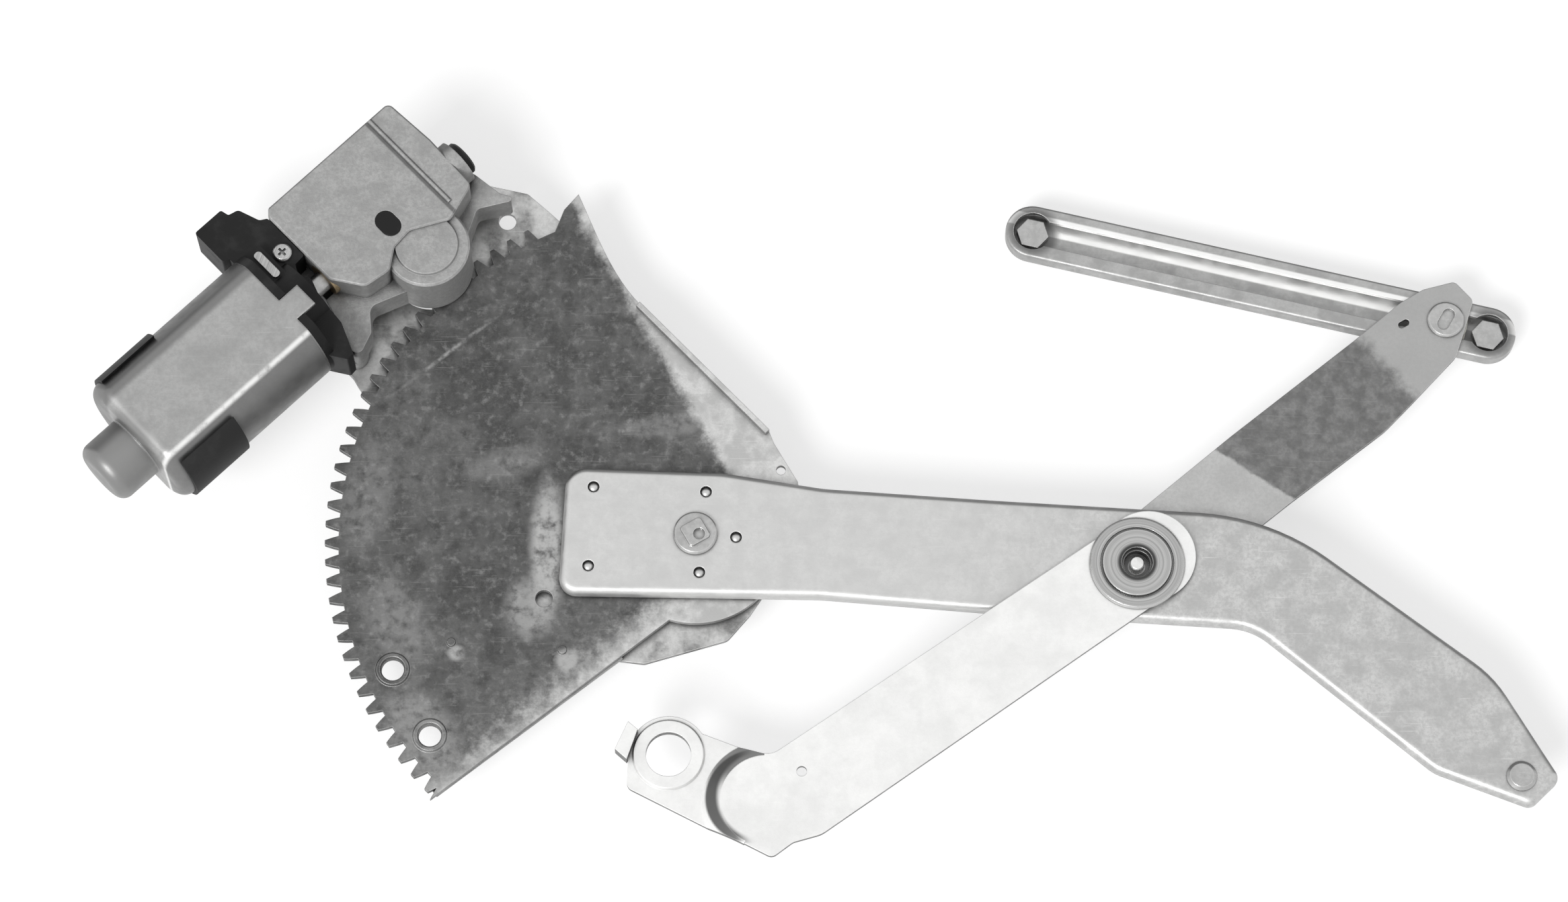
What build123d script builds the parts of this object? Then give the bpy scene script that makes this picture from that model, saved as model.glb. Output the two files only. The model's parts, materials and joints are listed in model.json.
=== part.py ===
"""Cross-arm electric window regulator with a motor, a worm gear case and a toothed sector.

The regulator lies flat. The frame's origin is on the sector pivot's axis, in the mounting plane
of the base plate. +X runs along the main arm, +Z points away from the door panel.
Lengths are in millimetres and angles in degrees.
"""

import os
from math import acos, cos, degrees, pi, radians, sin, tan

from build123d import *

os.makedirs("parts", exist_ok=True)

# --- clearances -------------------------------------------------------------------------------
running_fit = 0.06  # radial play of a shaft in its bearing
seat_fit = 0.05  # radial play of a fixed round piece in its hole
layer_gap = 0.4  # free height between pressings that swing past each other
side_gap = 0.35  # play of a sliding piece in its guide
end_gap = 0.4  # free length at the end of a turning piece

# --- pressed steel levels ---------------------------------------------------------------------
base_thickness = 2.0
sector_gap = 2.0  # height between the base plate and the sector
sector_thickness = 2.5
arm_thickness = 2.0
arm_skirt = 5.0  # full depth of the main arm's turned-down rim
equaliser_thickness = 2.0
rear_half_rise = 0.5  # height of the equaliser's rear half above the sector

sector_bottom = base_thickness + sector_gap
sector_top = sector_bottom + sector_thickness
upper_half_top = sector_top + rear_half_rise  # the rear half passes under the main arm
upper_half_bottom = upper_half_top - equaliser_thickness
arm_bottom = upper_half_top + layer_gap
arm_top = arm_bottom + arm_skirt
arm_web_bottom = arm_top - arm_thickness
lower_half_bottom = arm_top + layer_gap
lower_half_top = lower_half_bottom + equaliser_thickness

# --- gears ------------------------------------------------------------------------------------
gear_module = 2.4
sector_teeth = 115  # teeth of the full circle
pinion_teeth = 8
tooth_shift = 0.53  # profile shift that keeps the small pinion from being undercut
pressure_angle = 20.0
tooth_backlash = 0.25
pinion_direction = 133.4  # direction of the pinion from the sector pivot
first_tooth_direction = 118.0
last_tooth_direction = 224.5

sector_pitch_radius = gear_module * sector_teeth / 2
pinion_pitch_radius = gear_module * pinion_teeth / 2
sector_tip_radius = sector_pitch_radius + gear_module * (1 - tooth_shift)
sector_root_radius = sector_pitch_radius - gear_module * (1.15 + tooth_shift)
pinion_tip_radius = pinion_pitch_radius + gear_module * 1.25
pinion_root_radius = pinion_pitch_radius - gear_module * (1.25 - tooth_shift)
centre_distance = sector_pitch_radius + pinion_pitch_radius
pinion_x = centre_distance * cos(radians(pinion_direction))
pinion_y = centre_distance * sin(radians(pinion_direction))

# --- sector pivot -----------------------------------------------------------------------------
stud_radius = 5.0
bush_wall = 2.2
bush_flange_radius = 9.5
stud_head_radius = 8.2
stud_head_height = 1.6
stud_square = 9.0
stud_square_height = 1.2
hub_radius = 33.0

# --- main arm ---------------------------------------------------------------------------------
arm_pivot_x = 164.9  # centre pivot of the crossed arms
arm_pivot_y = -12.3
tip_hole = (305.5, -93.6)
tip_stud_radius = 4.0
tip_neck_radius = 3.2  # riveted neck in the arm's sheet
tip_collar_radius = 5.6
tip_collar_height = 0.8
tip_stud_head_radius = 5.6
tip_stud_head_height = 2.0
tip_stud_length = 11.0  # below the arm's sheet, collar included
weld_dimple_radius = 2.2

# --- equaliser --------------------------------------------------------------------------------
pivot_rivet_radius = 6.0
pivot_washer_radius = 17.8
pivot_washer_height = 1.4
pivot_ring_radius = 13.0
pivot_ring_height = 0.6
pivot_groove = 0.8  # width and depth of the groove round the ring
pivot_recess_radius = 5.6
lower_half_width = 33.0
lower_half_angle = 214.6  # direction in which the lower half leaves the centre pivot
step_centre_x = 26.8
step_centre_y = -103.4
step_inner_radius = 17.3
step_outer_radius = 24.0
lower_end_drop = 5.0
end_boss_x = -9.6
end_boss_y = -84.8
end_boss_hole_radius = 8.4
end_boss_radius = 14.5
end_boss_height = 1.3
tab_height = 6.6
upper_half_width = 33.0
upper_half_angle = 39.4
upper_end_drop = 7.0
upper_slope_start = 62.0  # distance of the joggle from the centre pivot
upper_slope_end = 124.0

upper_end_top = upper_half_top - upper_end_drop
upper_end_bottom = upper_half_bottom - upper_end_drop
lower_end_top = lower_half_top - lower_end_drop

# --- guide rail -------------------------------------------------------------------------------
rail_length = 178.0  # between the centres of the end studs
rail_angle = -13.4
rail_width = 21.0
rail_depth = 7.5
rail_wall = 1.8
rail_lip = 5.5
rail_gap = 1.0  # between the equaliser's end and the rail's lips
rail_top = upper_end_bottom - rail_gap
rail_bottom = rail_top - rail_depth
rail_stud_radius = 3.0
rail_stud_shoulder = 3.5  # radius of the stud's shoulder, pressed in the rail's floor
rail_stud_head_radius = 6.2
rail_stud_head_height = 3.2
rail_stud_length = 9.0
rail_head_clearance = 1.2  # round the stud's head, where the lips are cut open
slider_from_end = 17.0  # distance of the slider pin from the right-hand stud
slider_x = 285.2
slider_y = 89.0
slider_pin_radius = 4.0
slider_pin_head_radius = 7.0
slider_pin_head_height = 1.6
slider_pin_neck = 3.0  # radius of the pin in the shoe
shoe_length = 17.0
shoe_corner = 3.5

# --- motor ------------------------------------------------------------------------------------
worm_angle = 43.85  # direction of the motor axis, seen from above
motor_height = 27.0  # height of the motor axis above the mounting plane
worm_distance = 18.5  # between the worm axis and the worm wheel axis
can_radius = 27.0
can_flat = 21.0  # half height between the can's two flats
can_wall = 1.8
can_closed_end = -131.0  # stations along the motor axis, measured from the worm wheel
can_open_end = -57.5
can_nose_radius = 12.6
can_nose_length = 18.0
shaft_radius = 4.0
bearing_length = 9.0
boot_thickness = 1.6
boot_length = 31.0
boot_setback = 5.0
boot_opening = 44.0
air_gap = 0.8
core_length = 30.0
magnet_setback = 7.0
magnet_overhang = 3.0
magnet_gap = 48.0  # half the open angle between the two magnets
commutator_radius = 9.0
commutator_length = 12.0

# --- gear case --------------------------------------------------------------------------------
case_bottom = sector_top + 1.8
case_roof = 9.0  # height of the case above the motor axis
case_top = motor_height + case_roof
case_boss_radius = 16.3
case_boss_roof = 1.9
cap_radius = 12.2
cap_height = 1.2
worm_module = 1.0
wheel_teeth = 27
wheel_thickness = 8.0
screw_radius = 2.6
screw_head_radius = 4.6
screw_clearance = 0.4


# --- placement helpers ------------------------------------------------------------------------
axis_x = cos(radians(worm_angle))
axis_y = sin(radians(worm_angle))
motor_x = pinion_x - worm_distance * axis_y
motor_y = pinion_y + worm_distance * axis_x


def motor_level(height):
    """Horizontal plane whose x runs along the motor axis and whose y points to the outside."""
    return Plane(origin=(motor_x, motor_y, height), x_dir=(axis_x, axis_y, 0), z_dir=(0, 0, 1))


def motor_station(station):
    """Plane across the motor axis: x points to the outside, y up."""
    origin = (motor_x + axis_x * station, motor_y + axis_y * station, motor_height)
    return Plane(origin=origin, x_dir=(-axis_y, axis_x, 0), z_dir=(axis_x, axis_y, 0))


def motor_point(station, side):
    """Position in the XY plane of a point given along and across the motor axis."""
    return (motor_x + axis_x * station - axis_y * side, motor_y + axis_y * station + axis_x * side)


def on_plate(distance, direction, centre=(0, 0)):
    """Point at a distance and direction from a centre."""
    return (
        centre[0] + distance * cos(radians(direction)),
        centre[1] + distance * sin(radians(direction)),
    )


def beside(centre, x, y):
    """Point at an offset from a centre."""
    return (centre[0] + x, centre[1] + y)


def level(height):
    """Horizontal plane in the part's own frame."""
    return Plane.XY.offset(height)


def rounded(corners):
    """Closed outline with its own rounding at each corner, as a face in the open sketch."""
    with BuildLine() as outline:
        FilletPolyline(
            *[corner for corner, radius in corners],
            radius=[radius for corner, radius in corners],
            close=True,
        )
    make_face(outline.line.edges())


def gear_outline(teeth, module, shift, root, tip, backlash, directions):
    """Points of the teeth at the given directions, each flank an involute in short chords."""
    pitch = module * teeth / 2
    base = pitch * cos(radians(pressure_angle))
    half_pitch = (module * (pi / 2 + 2 * shift * tan(radians(pressure_angle))) - backlash) / 2 / pitch

    def half_angle(radius):
        angle = acos(min(1.0, base / radius))
        start = radians(pressure_angle)
        return degrees(half_pitch + (tan(start) - start) - (tan(angle) - angle))

    lowest = max(root, base)
    flank = [lowest + (tip - lowest) * step / 3 for step in range(4)]
    if root < base:
        flank = [root] + flank
    points = []
    for direction in directions:
        points += [on_plate(r, direction - half_angle(max(r, base))) for r in flank]
        points += [on_plate(r, direction + half_angle(max(r, base))) for r in reversed(flank)]
    return points


# --- base plate -------------------------------------------------------------------------------
case_ears = [(-43.5, -23.5), (33.0, -12.0), (-22.0, 24.0)]  # station and side of the case's feet
ear_points = [motor_point(station, side) for station, side in case_ears]
door_hole_radius = 3.3
door_hole_x = -72.6
door_hole_upper_y = 128.2
door_hole_lower_y = 8.2
tongue_hole = (14.0, 8.0)
plate_window = (-46.0, 62.0)  # oval lightening window between the hub and the gear case
window_length = 46.0
window_width = 20.0
window_turn = -52.0
pinion_window_gap = 2.0
stud_tail_radius = stud_radius - 1  # riveted tail of the pivot stud

plate_corners = [
    ((-19.0, -47.5), 3),
    ((12.0, -38.5), 4),
    ((20.5, -28.5), 3),
    ((30.0, -14.0), 10),
    ((30.0, 22.0), 14),
    ((-14.0, 72.0), 20),
    ((-46.0, 122.0), 3),
    ((-57.0, 132.4), 1.5),
    ((-65.0, 139.5), 3),
    (motor_point(39, -6), 5),
    (motor_point(30, 6), 8),
    (motor_point(-14, 31), 7),
    (motor_point(-31, 31), 7),
    (motor_point(-34, 4), 8),
    (motor_point(-50, -17), 5),
    (motor_point(-50, -29), 5),
    ((-128.5, 62.0), 4),
    ((-68.0, -30.0), 14),
    ((-31.0, -46.0), 3),
]

with BuildPart() as base_plate:
    with BuildSketch():
        rounded(plate_corners)
        with Locations((door_hole_x, door_hole_upper_y), (door_hole_x, door_hole_lower_y), tongue_hole):
            Circle(door_hole_radius, mode=Mode.SUBTRACT)
        with Locations(*ear_points):
            Circle(screw_radius + screw_clearance, mode=Mode.SUBTRACT)
        with Locations((pinion_x, pinion_y)):
            Circle(pinion_tip_radius + pinion_window_gap, mode=Mode.SUBTRACT)
        Circle(stud_tail_radius + seat_fit, mode=Mode.SUBTRACT)
        with Locations(plate_window):
            SlotOverall(window_length, window_width, rotation=window_turn, mode=Mode.SUBTRACT)
    extrude(amount=base_thickness)
    with BuildSketch():
        with Locations(*ear_points):
            Circle(screw_head_radius + screw_clearance)
    extrude(amount=base_thickness, taper=45, mode=Mode.SUBTRACT)
base_plate.part.label = "base_plate"
export_step(base_plate.part, "parts/base_plate.step")

# --- pivot stud -------------------------------------------------------------------------------
head_bottom = arm_top + layer_gap + 0.2
head_top = head_bottom + stud_head_height
with BuildPart() as pivot_stud:
    with BuildSketch():
        Circle(stud_tail_radius)
    extrude(amount=base_thickness)
    with BuildSketch(level(base_thickness)):
        Circle(stud_radius)
    extrude(amount=head_bottom - base_thickness)
    with BuildSketch(level(head_bottom)):
        Circle(stud_head_radius)
    extrude(amount=stud_head_height)
    chamfer(faces().sort_by(Axis.Z)[-1].edges(), 0.6)
    with BuildSketch(level(head_top)):
        RectangleRounded(stud_square, stud_square, 1.5, rotation=30)
    extrude(amount=stud_square_height, taper=12)
    with BuildSketch(level(head_top + stud_square_height)):
        with Locations((1.4, -0.8)):
            Circle(2.2)
    extrude(amount=-1.6, mode=Mode.SUBTRACT)
pivot_stud.part.label = "pivot_stud"
export_step(pivot_stud.part, "parts/pivot_stud.step")

# --- pivot bush -------------------------------------------------------------------------------
bush_radius = stud_radius + bush_wall
with BuildPart() as pivot_bush:
    with BuildSketch(level(base_thickness + 0.3)):
        Circle(bush_flange_radius)
    extrude(amount=sector_gap - 0.3)
    with BuildSketch(level(sector_bottom)):
        Circle(bush_radius)
    extrude(amount=arm_top + 0.2 - sector_bottom)
    with BuildSketch(level(base_thickness)):
        Circle(stud_radius + running_fit)
    extrude(amount=arm_top, mode=Mode.SUBTRACT)
pivot_bush.part.label = "pivot_bush"
export_step(pivot_bush.part, "parts/pivot_bush.step")

# --- sector gear ------------------------------------------------------------------------------
sector_pitch = 360 / sector_teeth
tooth_count = int((last_tooth_direction - first_tooth_direction) / sector_pitch) + 1
tooth_directions = [first_tooth_direction + sector_pitch * i for i in range(tooth_count)]
sector_flange_height = 3.0
through_holes = [(-112.6, -51.0), (-98.3, -76.4)]
through_hole_radius = 4.2
hole_collar_radius = 6.6
collar_height = 0.9
blind_hole = (-56.6, -23.4)
blind_hole_radius = 3.3
corner_hole = (32.0, 27.0)
corner_hole_radius = 1.8
plate_pips = [(-91.0, -40.5), (-49.5, -43.5)]
pip_radius = 1.8
sector_foot = (-97.8, -100.8)
sector_shoulder = [(39.2, 14.0), (38.4, 22.3), (29.4, 37.6), (27.6, 42.2), (-21.6, 93.2)]
sector_back = [(-29.4, 103.6), (-38.4, 121.4), (-45.4, 137.8)]
sector_horn = (-50.9, 131.4)
lower_flange = [(-95.5, -99.0), (-27.0, -45.9), (-28.5, -43.9), (-97.0, -97.0)]
upper_flange = [(27.6, 42.2), (-21.6, 93.2), (-23.0, 91.8), (26.2, 40.8)]

with BuildPart() as sector_gear:
    with BuildSketch(level(sector_bottom)):
        teeth = gear_outline(
            sector_teeth,
            gear_module,
            -tooth_shift,
            sector_root_radius,
            sector_tip_radius,
            tooth_backlash,
            tooth_directions,
        )
        with BuildLine():
            toothed = Polyline(*teeth)
            lower = Polyline(
                toothed @ 1,
                on_plate(sector_root_radius, last_tooth_direction + 0.6),
                sector_foot,
                on_plate(hub_radius, 253.0),
            )
            hub = ThreePointArc(lower @ 1, on_plate(hub_radius, 310.0), on_plate(hub_radius, 4.0))
            right = Polyline(hub @ 1, *sector_shoulder)
            back = Spline(right @ 1, *sector_back)
            Polyline(
                back @ 1,
                sector_horn,
                on_plate(sector_root_radius, 113.9),
                on_plate(sector_root_radius, 115.6),
                toothed @ 0,
            )
        make_face()
        with Locations(*through_holes):
            Circle(through_hole_radius, mode=Mode.SUBTRACT)
        with Locations(blind_hole):
            Circle(blind_hole_radius, mode=Mode.SUBTRACT)
        with Locations(corner_hole):
            Circle(corner_hole_radius, mode=Mode.SUBTRACT)
        Circle(bush_radius + seat_fit, mode=Mode.SUBTRACT)
    extrude(amount=sector_thickness)
    # raised collars round the two through holes, and two pips
    with BuildSketch(level(sector_top)):
        with Locations(*through_holes):
            Circle(hole_collar_radius)
            Circle(through_hole_radius, mode=Mode.SUBTRACT)
    extrude(amount=collar_height, taper=35)
    with BuildSketch(level(sector_top)):
        with Locations(*plate_pips):
            Circle(pip_radius)
    extrude(amount=collar_height, taper=20)
    # stiffening flange turned down along the lower edge
    with BuildSketch(level(sector_bottom)):
        with BuildLine():
            Polyline(*lower_flange, close=True)
        make_face()
    extrude(amount=layer_gap - sector_gap)
    # flange turned up along the right-hand edge
    with BuildSketch(level(sector_top)):
        with BuildLine():
            Polyline(*upper_flange, close=True)
        make_face()
    extrude(amount=sector_flange_height)
sector_gear.part.label = "sector_gear"
export_step(sector_gear.part, "parts/sector_gear.step")

# --- main arm ---------------------------------------------------------------------------------
arm_corners = [
    ((-48.6, 26.8), 8),
    ((10.0, 24.6), 40),
    ((48.0, 18.4), 60),
    ((112.0, 13.8), 150),
    ((215.4, 7.4), 88),
    ((296.8, -54.6), 45),
    ((320.2, -94.2), 4),
    ((309.0, -105.0), 4),
    ((273.6, -91.4), 16),
    ((207.5, -36.0), 24),
    ((110.0, -29.8), 150),
    ((46.5, -24.4), 80),
    ((-51.2, -22.8), 6.5),
]
weld_points = [(-38.3, 18.6), (-40.0, -12.3), (3.9, 16.6), (15.2, -1.2), (1.5, -14.9)]
arm_edge_radius = 2.8
dimple_wall = 1.2
dimple_depth = 3.6

with BuildPart() as main_arm:
    with BuildSketch(level(arm_bottom)) as arm_outline:
        rounded(arm_corners)
    extrude(amount=arm_skirt)
    fillet(faces().sort_by(Axis.Z)[-1].edges(), arm_edge_radius)
    with BuildSketch(level(arm_bottom)):
        add(arm_outline.sketch)
        offset(amount=-arm_thickness, mode=Mode.REPLACE)
    extrude(amount=arm_skirt - arm_thickness, mode=Mode.SUBTRACT)
    # dimples pressed down to the sector, where the two are welded
    with BuildSketch(level(sector_top)):
        with Locations(*weld_points):
            Circle(weld_dimple_radius + dimple_wall)
    extrude(amount=arm_web_bottom - sector_top + arm_thickness / 2)
    with BuildSketch(level(arm_top)):
        with Locations(*weld_points):
            Circle(weld_dimple_radius)
    extrude(amount=-dimple_depth, mode=Mode.SUBTRACT)
    with BuildSketch(level(arm_bottom)):
        Circle(bush_radius + seat_fit)
        with Locations((arm_pivot_x, arm_pivot_y)):
            Circle(pivot_rivet_radius + running_fit)
        with Locations(tip_hole):
            Circle(tip_neck_radius + seat_fit)
    extrude(amount=arm_skirt, mode=Mode.SUBTRACT)
main_arm.part.label = "main_arm"
export_step(main_arm.part, "parts/main_arm.step")

# --- glass-side stud at the arm's tip ---------------------------------------------------------
with BuildPart() as tip_stud:
    with BuildSketch(level(arm_top)):
        with Locations(tip_hole):
            Circle(tip_stud_head_radius)
    extrude(amount=tip_stud_head_height)
    chamfer(faces().sort_by(Axis.Z)[-1].edges(), 1.2)
    with BuildSketch(level(arm_top)):
        with Locations(tip_hole):
            Circle(tip_neck_radius)
    extrude(amount=-arm_thickness)
    with BuildSketch(level(arm_web_bottom)):
        with Locations(tip_hole):
            Circle(tip_collar_radius)
    extrude(amount=-tip_collar_height)
    with BuildSketch(level(arm_web_bottom - tip_collar_height)):
        with Locations(tip_hole):
            Circle(tip_stud_radius)
    extrude(amount=tip_collar_height - tip_stud_length)
    chamfer(faces().sort_by(Axis.Z)[0].edges(), 0.8)
tip_stud.part.label = "tip_stud"
export_step(tip_stud.part, "parts/tip_stud.step")

# --- lower half of the equaliser, in front of the main arm -------------------------------------
pivot = (arm_pivot_x, arm_pivot_y)
step_centre = (step_centre_x, step_centre_y)
end_boss = (end_boss_x, end_boss_y)
tooling_hole = (39.7, -92.2)
tooling_hole_radius = 1.9
stop_tab = [(-25.0, -87.5), (-21.0, -76.0), (-24.6, -73.0), (-29.4, -83.6)]
step_start = 93.0  # directions between which the crescent step runs round its centre
step_sweep = 150.0
half_side = lower_half_width / 2
lower_edge_start = on_plate(half_side, lower_half_angle + 90, pivot)
upper_edge_start = on_plate(half_side, lower_half_angle - 90, pivot)
lower_half_corners = [
    (upper_edge_start, 0),
    ((28.0, -86.3), 7),
    ((6.5, -78.0), 5),
    ((-9.0, -72.0), 6),
    ((-24.4, -80.0), 3),
    ((-25.0, -97.2), 3),
    ((28.8, -125.0), 3),
    ((36.5, -119.2), 5),
    ((47.0, -116.2), 10),
    (lower_edge_start, 0),
]
far = 80.0  # reach of the cutting shapes

with BuildPart() as equaliser_lower:
    with BuildSketch(level(lower_half_bottom - lower_end_drop)):
        rounded(lower_half_corners)
        with Locations(on_plate(5.5, lower_half_angle + 180, pivot)):
            Circle(half_side + 1)
        with Locations(end_boss):
            Circle(end_boss_radius + 0.4)
    extrude(amount=equaliser_thickness + lower_end_drop)
    # the sheet steps down along a cone round the step's centre
    cone_axis = Axis((step_centre_x, step_centre_y, 0), (0, 0, 1))
    cone_plane = Plane(
        origin=(step_centre_x, step_centre_y, 0),
        x_dir=(cos(radians(step_start)), sin(radians(step_start)), 0),
        z_dir=(sin(radians(step_start)), -cos(radians(step_start)), 0),
    )
    with BuildSketch(cone_plane):
        with BuildLine():
            Polyline(
                (step_inner_radius, lower_half_top),
                (step_outer_radius, lower_end_top),
                (far, lower_end_top),
                (far, lower_half_top + 1),
                (step_inner_radius, lower_half_top + 1),
                close=True,
            )
        make_face()
    revolve(axis=cone_axis, revolution_arc=step_sweep, mode=Mode.SUBTRACT)
    with BuildSketch(cone_plane):
        with BuildLine():
            Polyline(
                (0, lower_half_bottom),
                (step_inner_radius - 0.6, lower_half_bottom),
                (step_outer_radius - 0.6, lower_half_bottom - lower_end_drop),
                (step_outer_radius - 0.6, lower_half_bottom - lower_end_drop - 1),
                (0, lower_half_bottom - lower_end_drop - 1),
                close=True,
            )
        make_face()
    revolve(axis=cone_axis, revolution_arc=step_sweep, mode=Mode.SUBTRACT)
    with BuildSketch(level(lower_half_bottom)):
        with BuildLine():
            start = on_plate(3 * far, step_start, step_centre)
            end = on_plate(3 * far, step_start + step_sweep, step_centre)
            Polyline(step_centre, end, (3 * far, -3 * far), (3 * far, 3 * far), start, close=True)
        make_face()
    extrude(amount=-(lower_end_drop + 1), mode=Mode.SUBTRACT)
    # raised collar and hole of the end boss
    with BuildSketch(level(lower_end_top)):
        with Locations(end_boss):
            Circle(end_boss_radius - 1)
    extrude(amount=end_boss_height, taper=25)
    with BuildSketch(level(lower_end_top + end_boss_height)):
        with Locations(end_boss):
            Circle(end_boss_hole_radius)
    extrude(amount=-(lower_end_drop + equaliser_thickness), mode=Mode.SUBTRACT)
    # stop tab turned up at the arm's end
    with BuildSketch(level(lower_end_top - equaliser_thickness)):
        with BuildLine():
            Polyline(*stop_tab, close=True)
        make_face()
    extrude(amount=tab_height)
    # rivet hole and tooling hole
    with BuildSketch(level(lower_half_top)):
        with Locations(pivot):
            Circle(pivot_rivet_radius + seat_fit)
        with Locations(tooling_hole):
            Circle(tooling_hole_radius)
    extrude(amount=-equaliser_thickness, mode=Mode.SUBTRACT)
equaliser_lower.part.label = "equaliser_lower"
export_step(equaliser_lower.part, "parts/equaliser_lower.step")

# --- upper half of the equaliser, behind the main arm ------------------------------------------
upper_side = upper_half_width / 2
slider = (slider_x, slider_y)
setting_hole = beside(slider, -16.0, -1.4)
setting_hole_length = 4.6
setting_hole_width = 2.6
upper_half_corners = [
    (on_plate(upper_side, upper_half_angle - 90, pivot), 0),
    (beside(slider, -24.7, -45.0), 30),
    (beside(slider, 3.4, -14.8), 6),
    (beside(slider, 7.4, -3.0), 6),
    (beside(slider, 10.8, 8.0), 2.5),
    (beside(slider, 4.0, 15.6), 2.5),
    (beside(slider, -8.2, 12.4), 6),
    (beside(slider, -16.8, 7.2), 12),
    (on_plate(upper_side, upper_half_angle + 90, pivot), 0),
]
with BuildPart() as equaliser_upper:
    with BuildSketch(level(upper_end_bottom)):
        rounded(upper_half_corners)
        with Locations(pivot):
            Circle(upper_side + 0.5)
    extrude(amount=upper_half_top - upper_end_bottom)
    # the joggle, cut from above and from below across the arm
    along = (cos(radians(upper_half_angle)), sin(radians(upper_half_angle)), 0)
    across = (sin(radians(upper_half_angle)), -cos(radians(upper_half_angle)), 0)
    side_plane = Plane(origin=(arm_pivot_x, arm_pivot_y, 0), x_dir=along, z_dir=across)
    with BuildSketch(side_plane):
        with BuildLine():
            Polyline(
                (upper_slope_start, upper_half_top),
                (upper_slope_end, upper_end_top),
                (3 * far, upper_end_top),
                (3 * far, upper_half_top),
                close=True,
            )
        make_face()
        with BuildLine():
            Polyline(
                (-far, upper_half_bottom),
                (upper_slope_start, upper_half_bottom),
                (upper_slope_end, upper_end_bottom),
                (upper_slope_end, upper_end_bottom - 1),
                (-far, upper_end_bottom - 1),
                close=True,
            )
        make_face()
    extrude(amount=far, both=True, mode=Mode.SUBTRACT)
    with BuildSketch(level(upper_half_top)):
        with Locations(pivot):
            Circle(pivot_rivet_radius + seat_fit)
        with Locations(slider):
            Circle(slider_pin_radius + seat_fit)
        with Locations(setting_hole):
            SlotOverall(setting_hole_length, setting_hole_width, rotation=30)
    extrude(amount=upper_end_bottom - upper_half_top, mode=Mode.SUBTRACT)
equaliser_upper.part.label = "equaliser_upper"
export_step(equaliser_upper.part, "parts/equaliser_upper.step")

# --- centre pivot: hollow-headed rivet, washer and spacer ---------------------------------------
rivet_foot_radius = 9.0
rivet_foot_height = 1.4
rivet_tip_radius = 2.8
rivet_tip_height = 0.9
rivet_recess_depth = 4.0
with BuildPart() as pivot_rivet:
    with BuildSketch(level(upper_half_bottom - rivet_foot_height)):
        with Locations(pivot):
            Circle(rivet_foot_radius)
    extrude(amount=rivet_foot_height)
    chamfer(faces().sort_by(Axis.Z)[0].edges(), 0.5)
    with BuildSketch(level(upper_half_bottom)):
        with Locations(pivot):
            Circle(pivot_rivet_radius)
    extrude(amount=lower_half_top - upper_half_bottom)
    with BuildSketch(level(lower_half_top)):
        with Locations(pivot):
            Circle(pivot_recess_radius - 0.6)
            Circle(rivet_tip_radius, mode=Mode.SUBTRACT)
    extrude(amount=-rivet_recess_depth, mode=Mode.SUBTRACT)
    with BuildSketch(level(lower_half_top)):
        with Locations(pivot):
            Circle(rivet_tip_radius)
    extrude(amount=rivet_tip_height)
    chamfer(faces().sort_by(Axis.Z)[-1].edges(), 0.5)
pivot_rivet.part.label = "pivot_rivet"
export_step(pivot_rivet.part, "parts/pivot_rivet.step")

with BuildPart() as pivot_washer:
    with BuildSketch(level(lower_half_top)):
        with Locations(pivot):
            Circle(pivot_washer_radius)
            Circle(pivot_recess_radius, mode=Mode.SUBTRACT)
    extrude(amount=pivot_washer_height)
    chamfer(faces().sort_by(Axis.Z)[-1].edges().sort_by(SortBy.LENGTH)[-1], 0.7)
    with BuildSketch(level(lower_half_top + pivot_washer_height)):
        with Locations(pivot):
            Circle(pivot_ring_radius + pivot_groove)
            Circle(pivot_ring_radius, mode=Mode.SUBTRACT)
    extrude(amount=-pivot_groove, mode=Mode.SUBTRACT)
    with BuildSketch(level(lower_half_top + pivot_washer_height)):
        with Locations(pivot):
            Circle(pivot_ring_radius)
            Circle(pivot_recess_radius, mode=Mode.SUBTRACT)
    extrude(amount=pivot_ring_height, taper=20)
pivot_washer.part.label = "pivot_washer"
export_step(pivot_washer.part, "parts/pivot_washer.step")

spacer_radius = pivot_rivet_radius + 5
with BuildPart() as pivot_spacer:
    with BuildSketch(level(upper_half_top)):
        with Locations(pivot):
            Circle(spacer_radius)
            Circle(pivot_rivet_radius + seat_fit, mode=Mode.SUBTRACT)
    extrude(amount=arm_web_bottom - end_gap - upper_half_top)
pivot_spacer.part.label = "pivot_spacer"
export_step(pivot_spacer.part, "parts/pivot_spacer.step")

# --- guide rail, its studs and the shoe that runs in it ------------------------------------------
rail_direction = (cos(radians(rail_angle)), sin(radians(rail_angle)), 0)
from_slider = slider_from_end - rail_length / 2
rail_centre = (slider_x + from_slider * rail_direction[0], slider_y + from_slider * rail_direction[1])
stud_stations = [(-rail_length / 2, 0), (rail_length / 2, 0)]
rail_slot = rail_width - 2 * rail_lip
rail_inside = rail_width - 2 * rail_wall
rail_edge_radius = 1.2


def rail_level(height):
    """Horizontal plane with its x along the guide rail."""
    return Plane(origin=(*rail_centre, height), x_dir=rail_direction, z_dir=(0, 0, 1))


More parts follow.
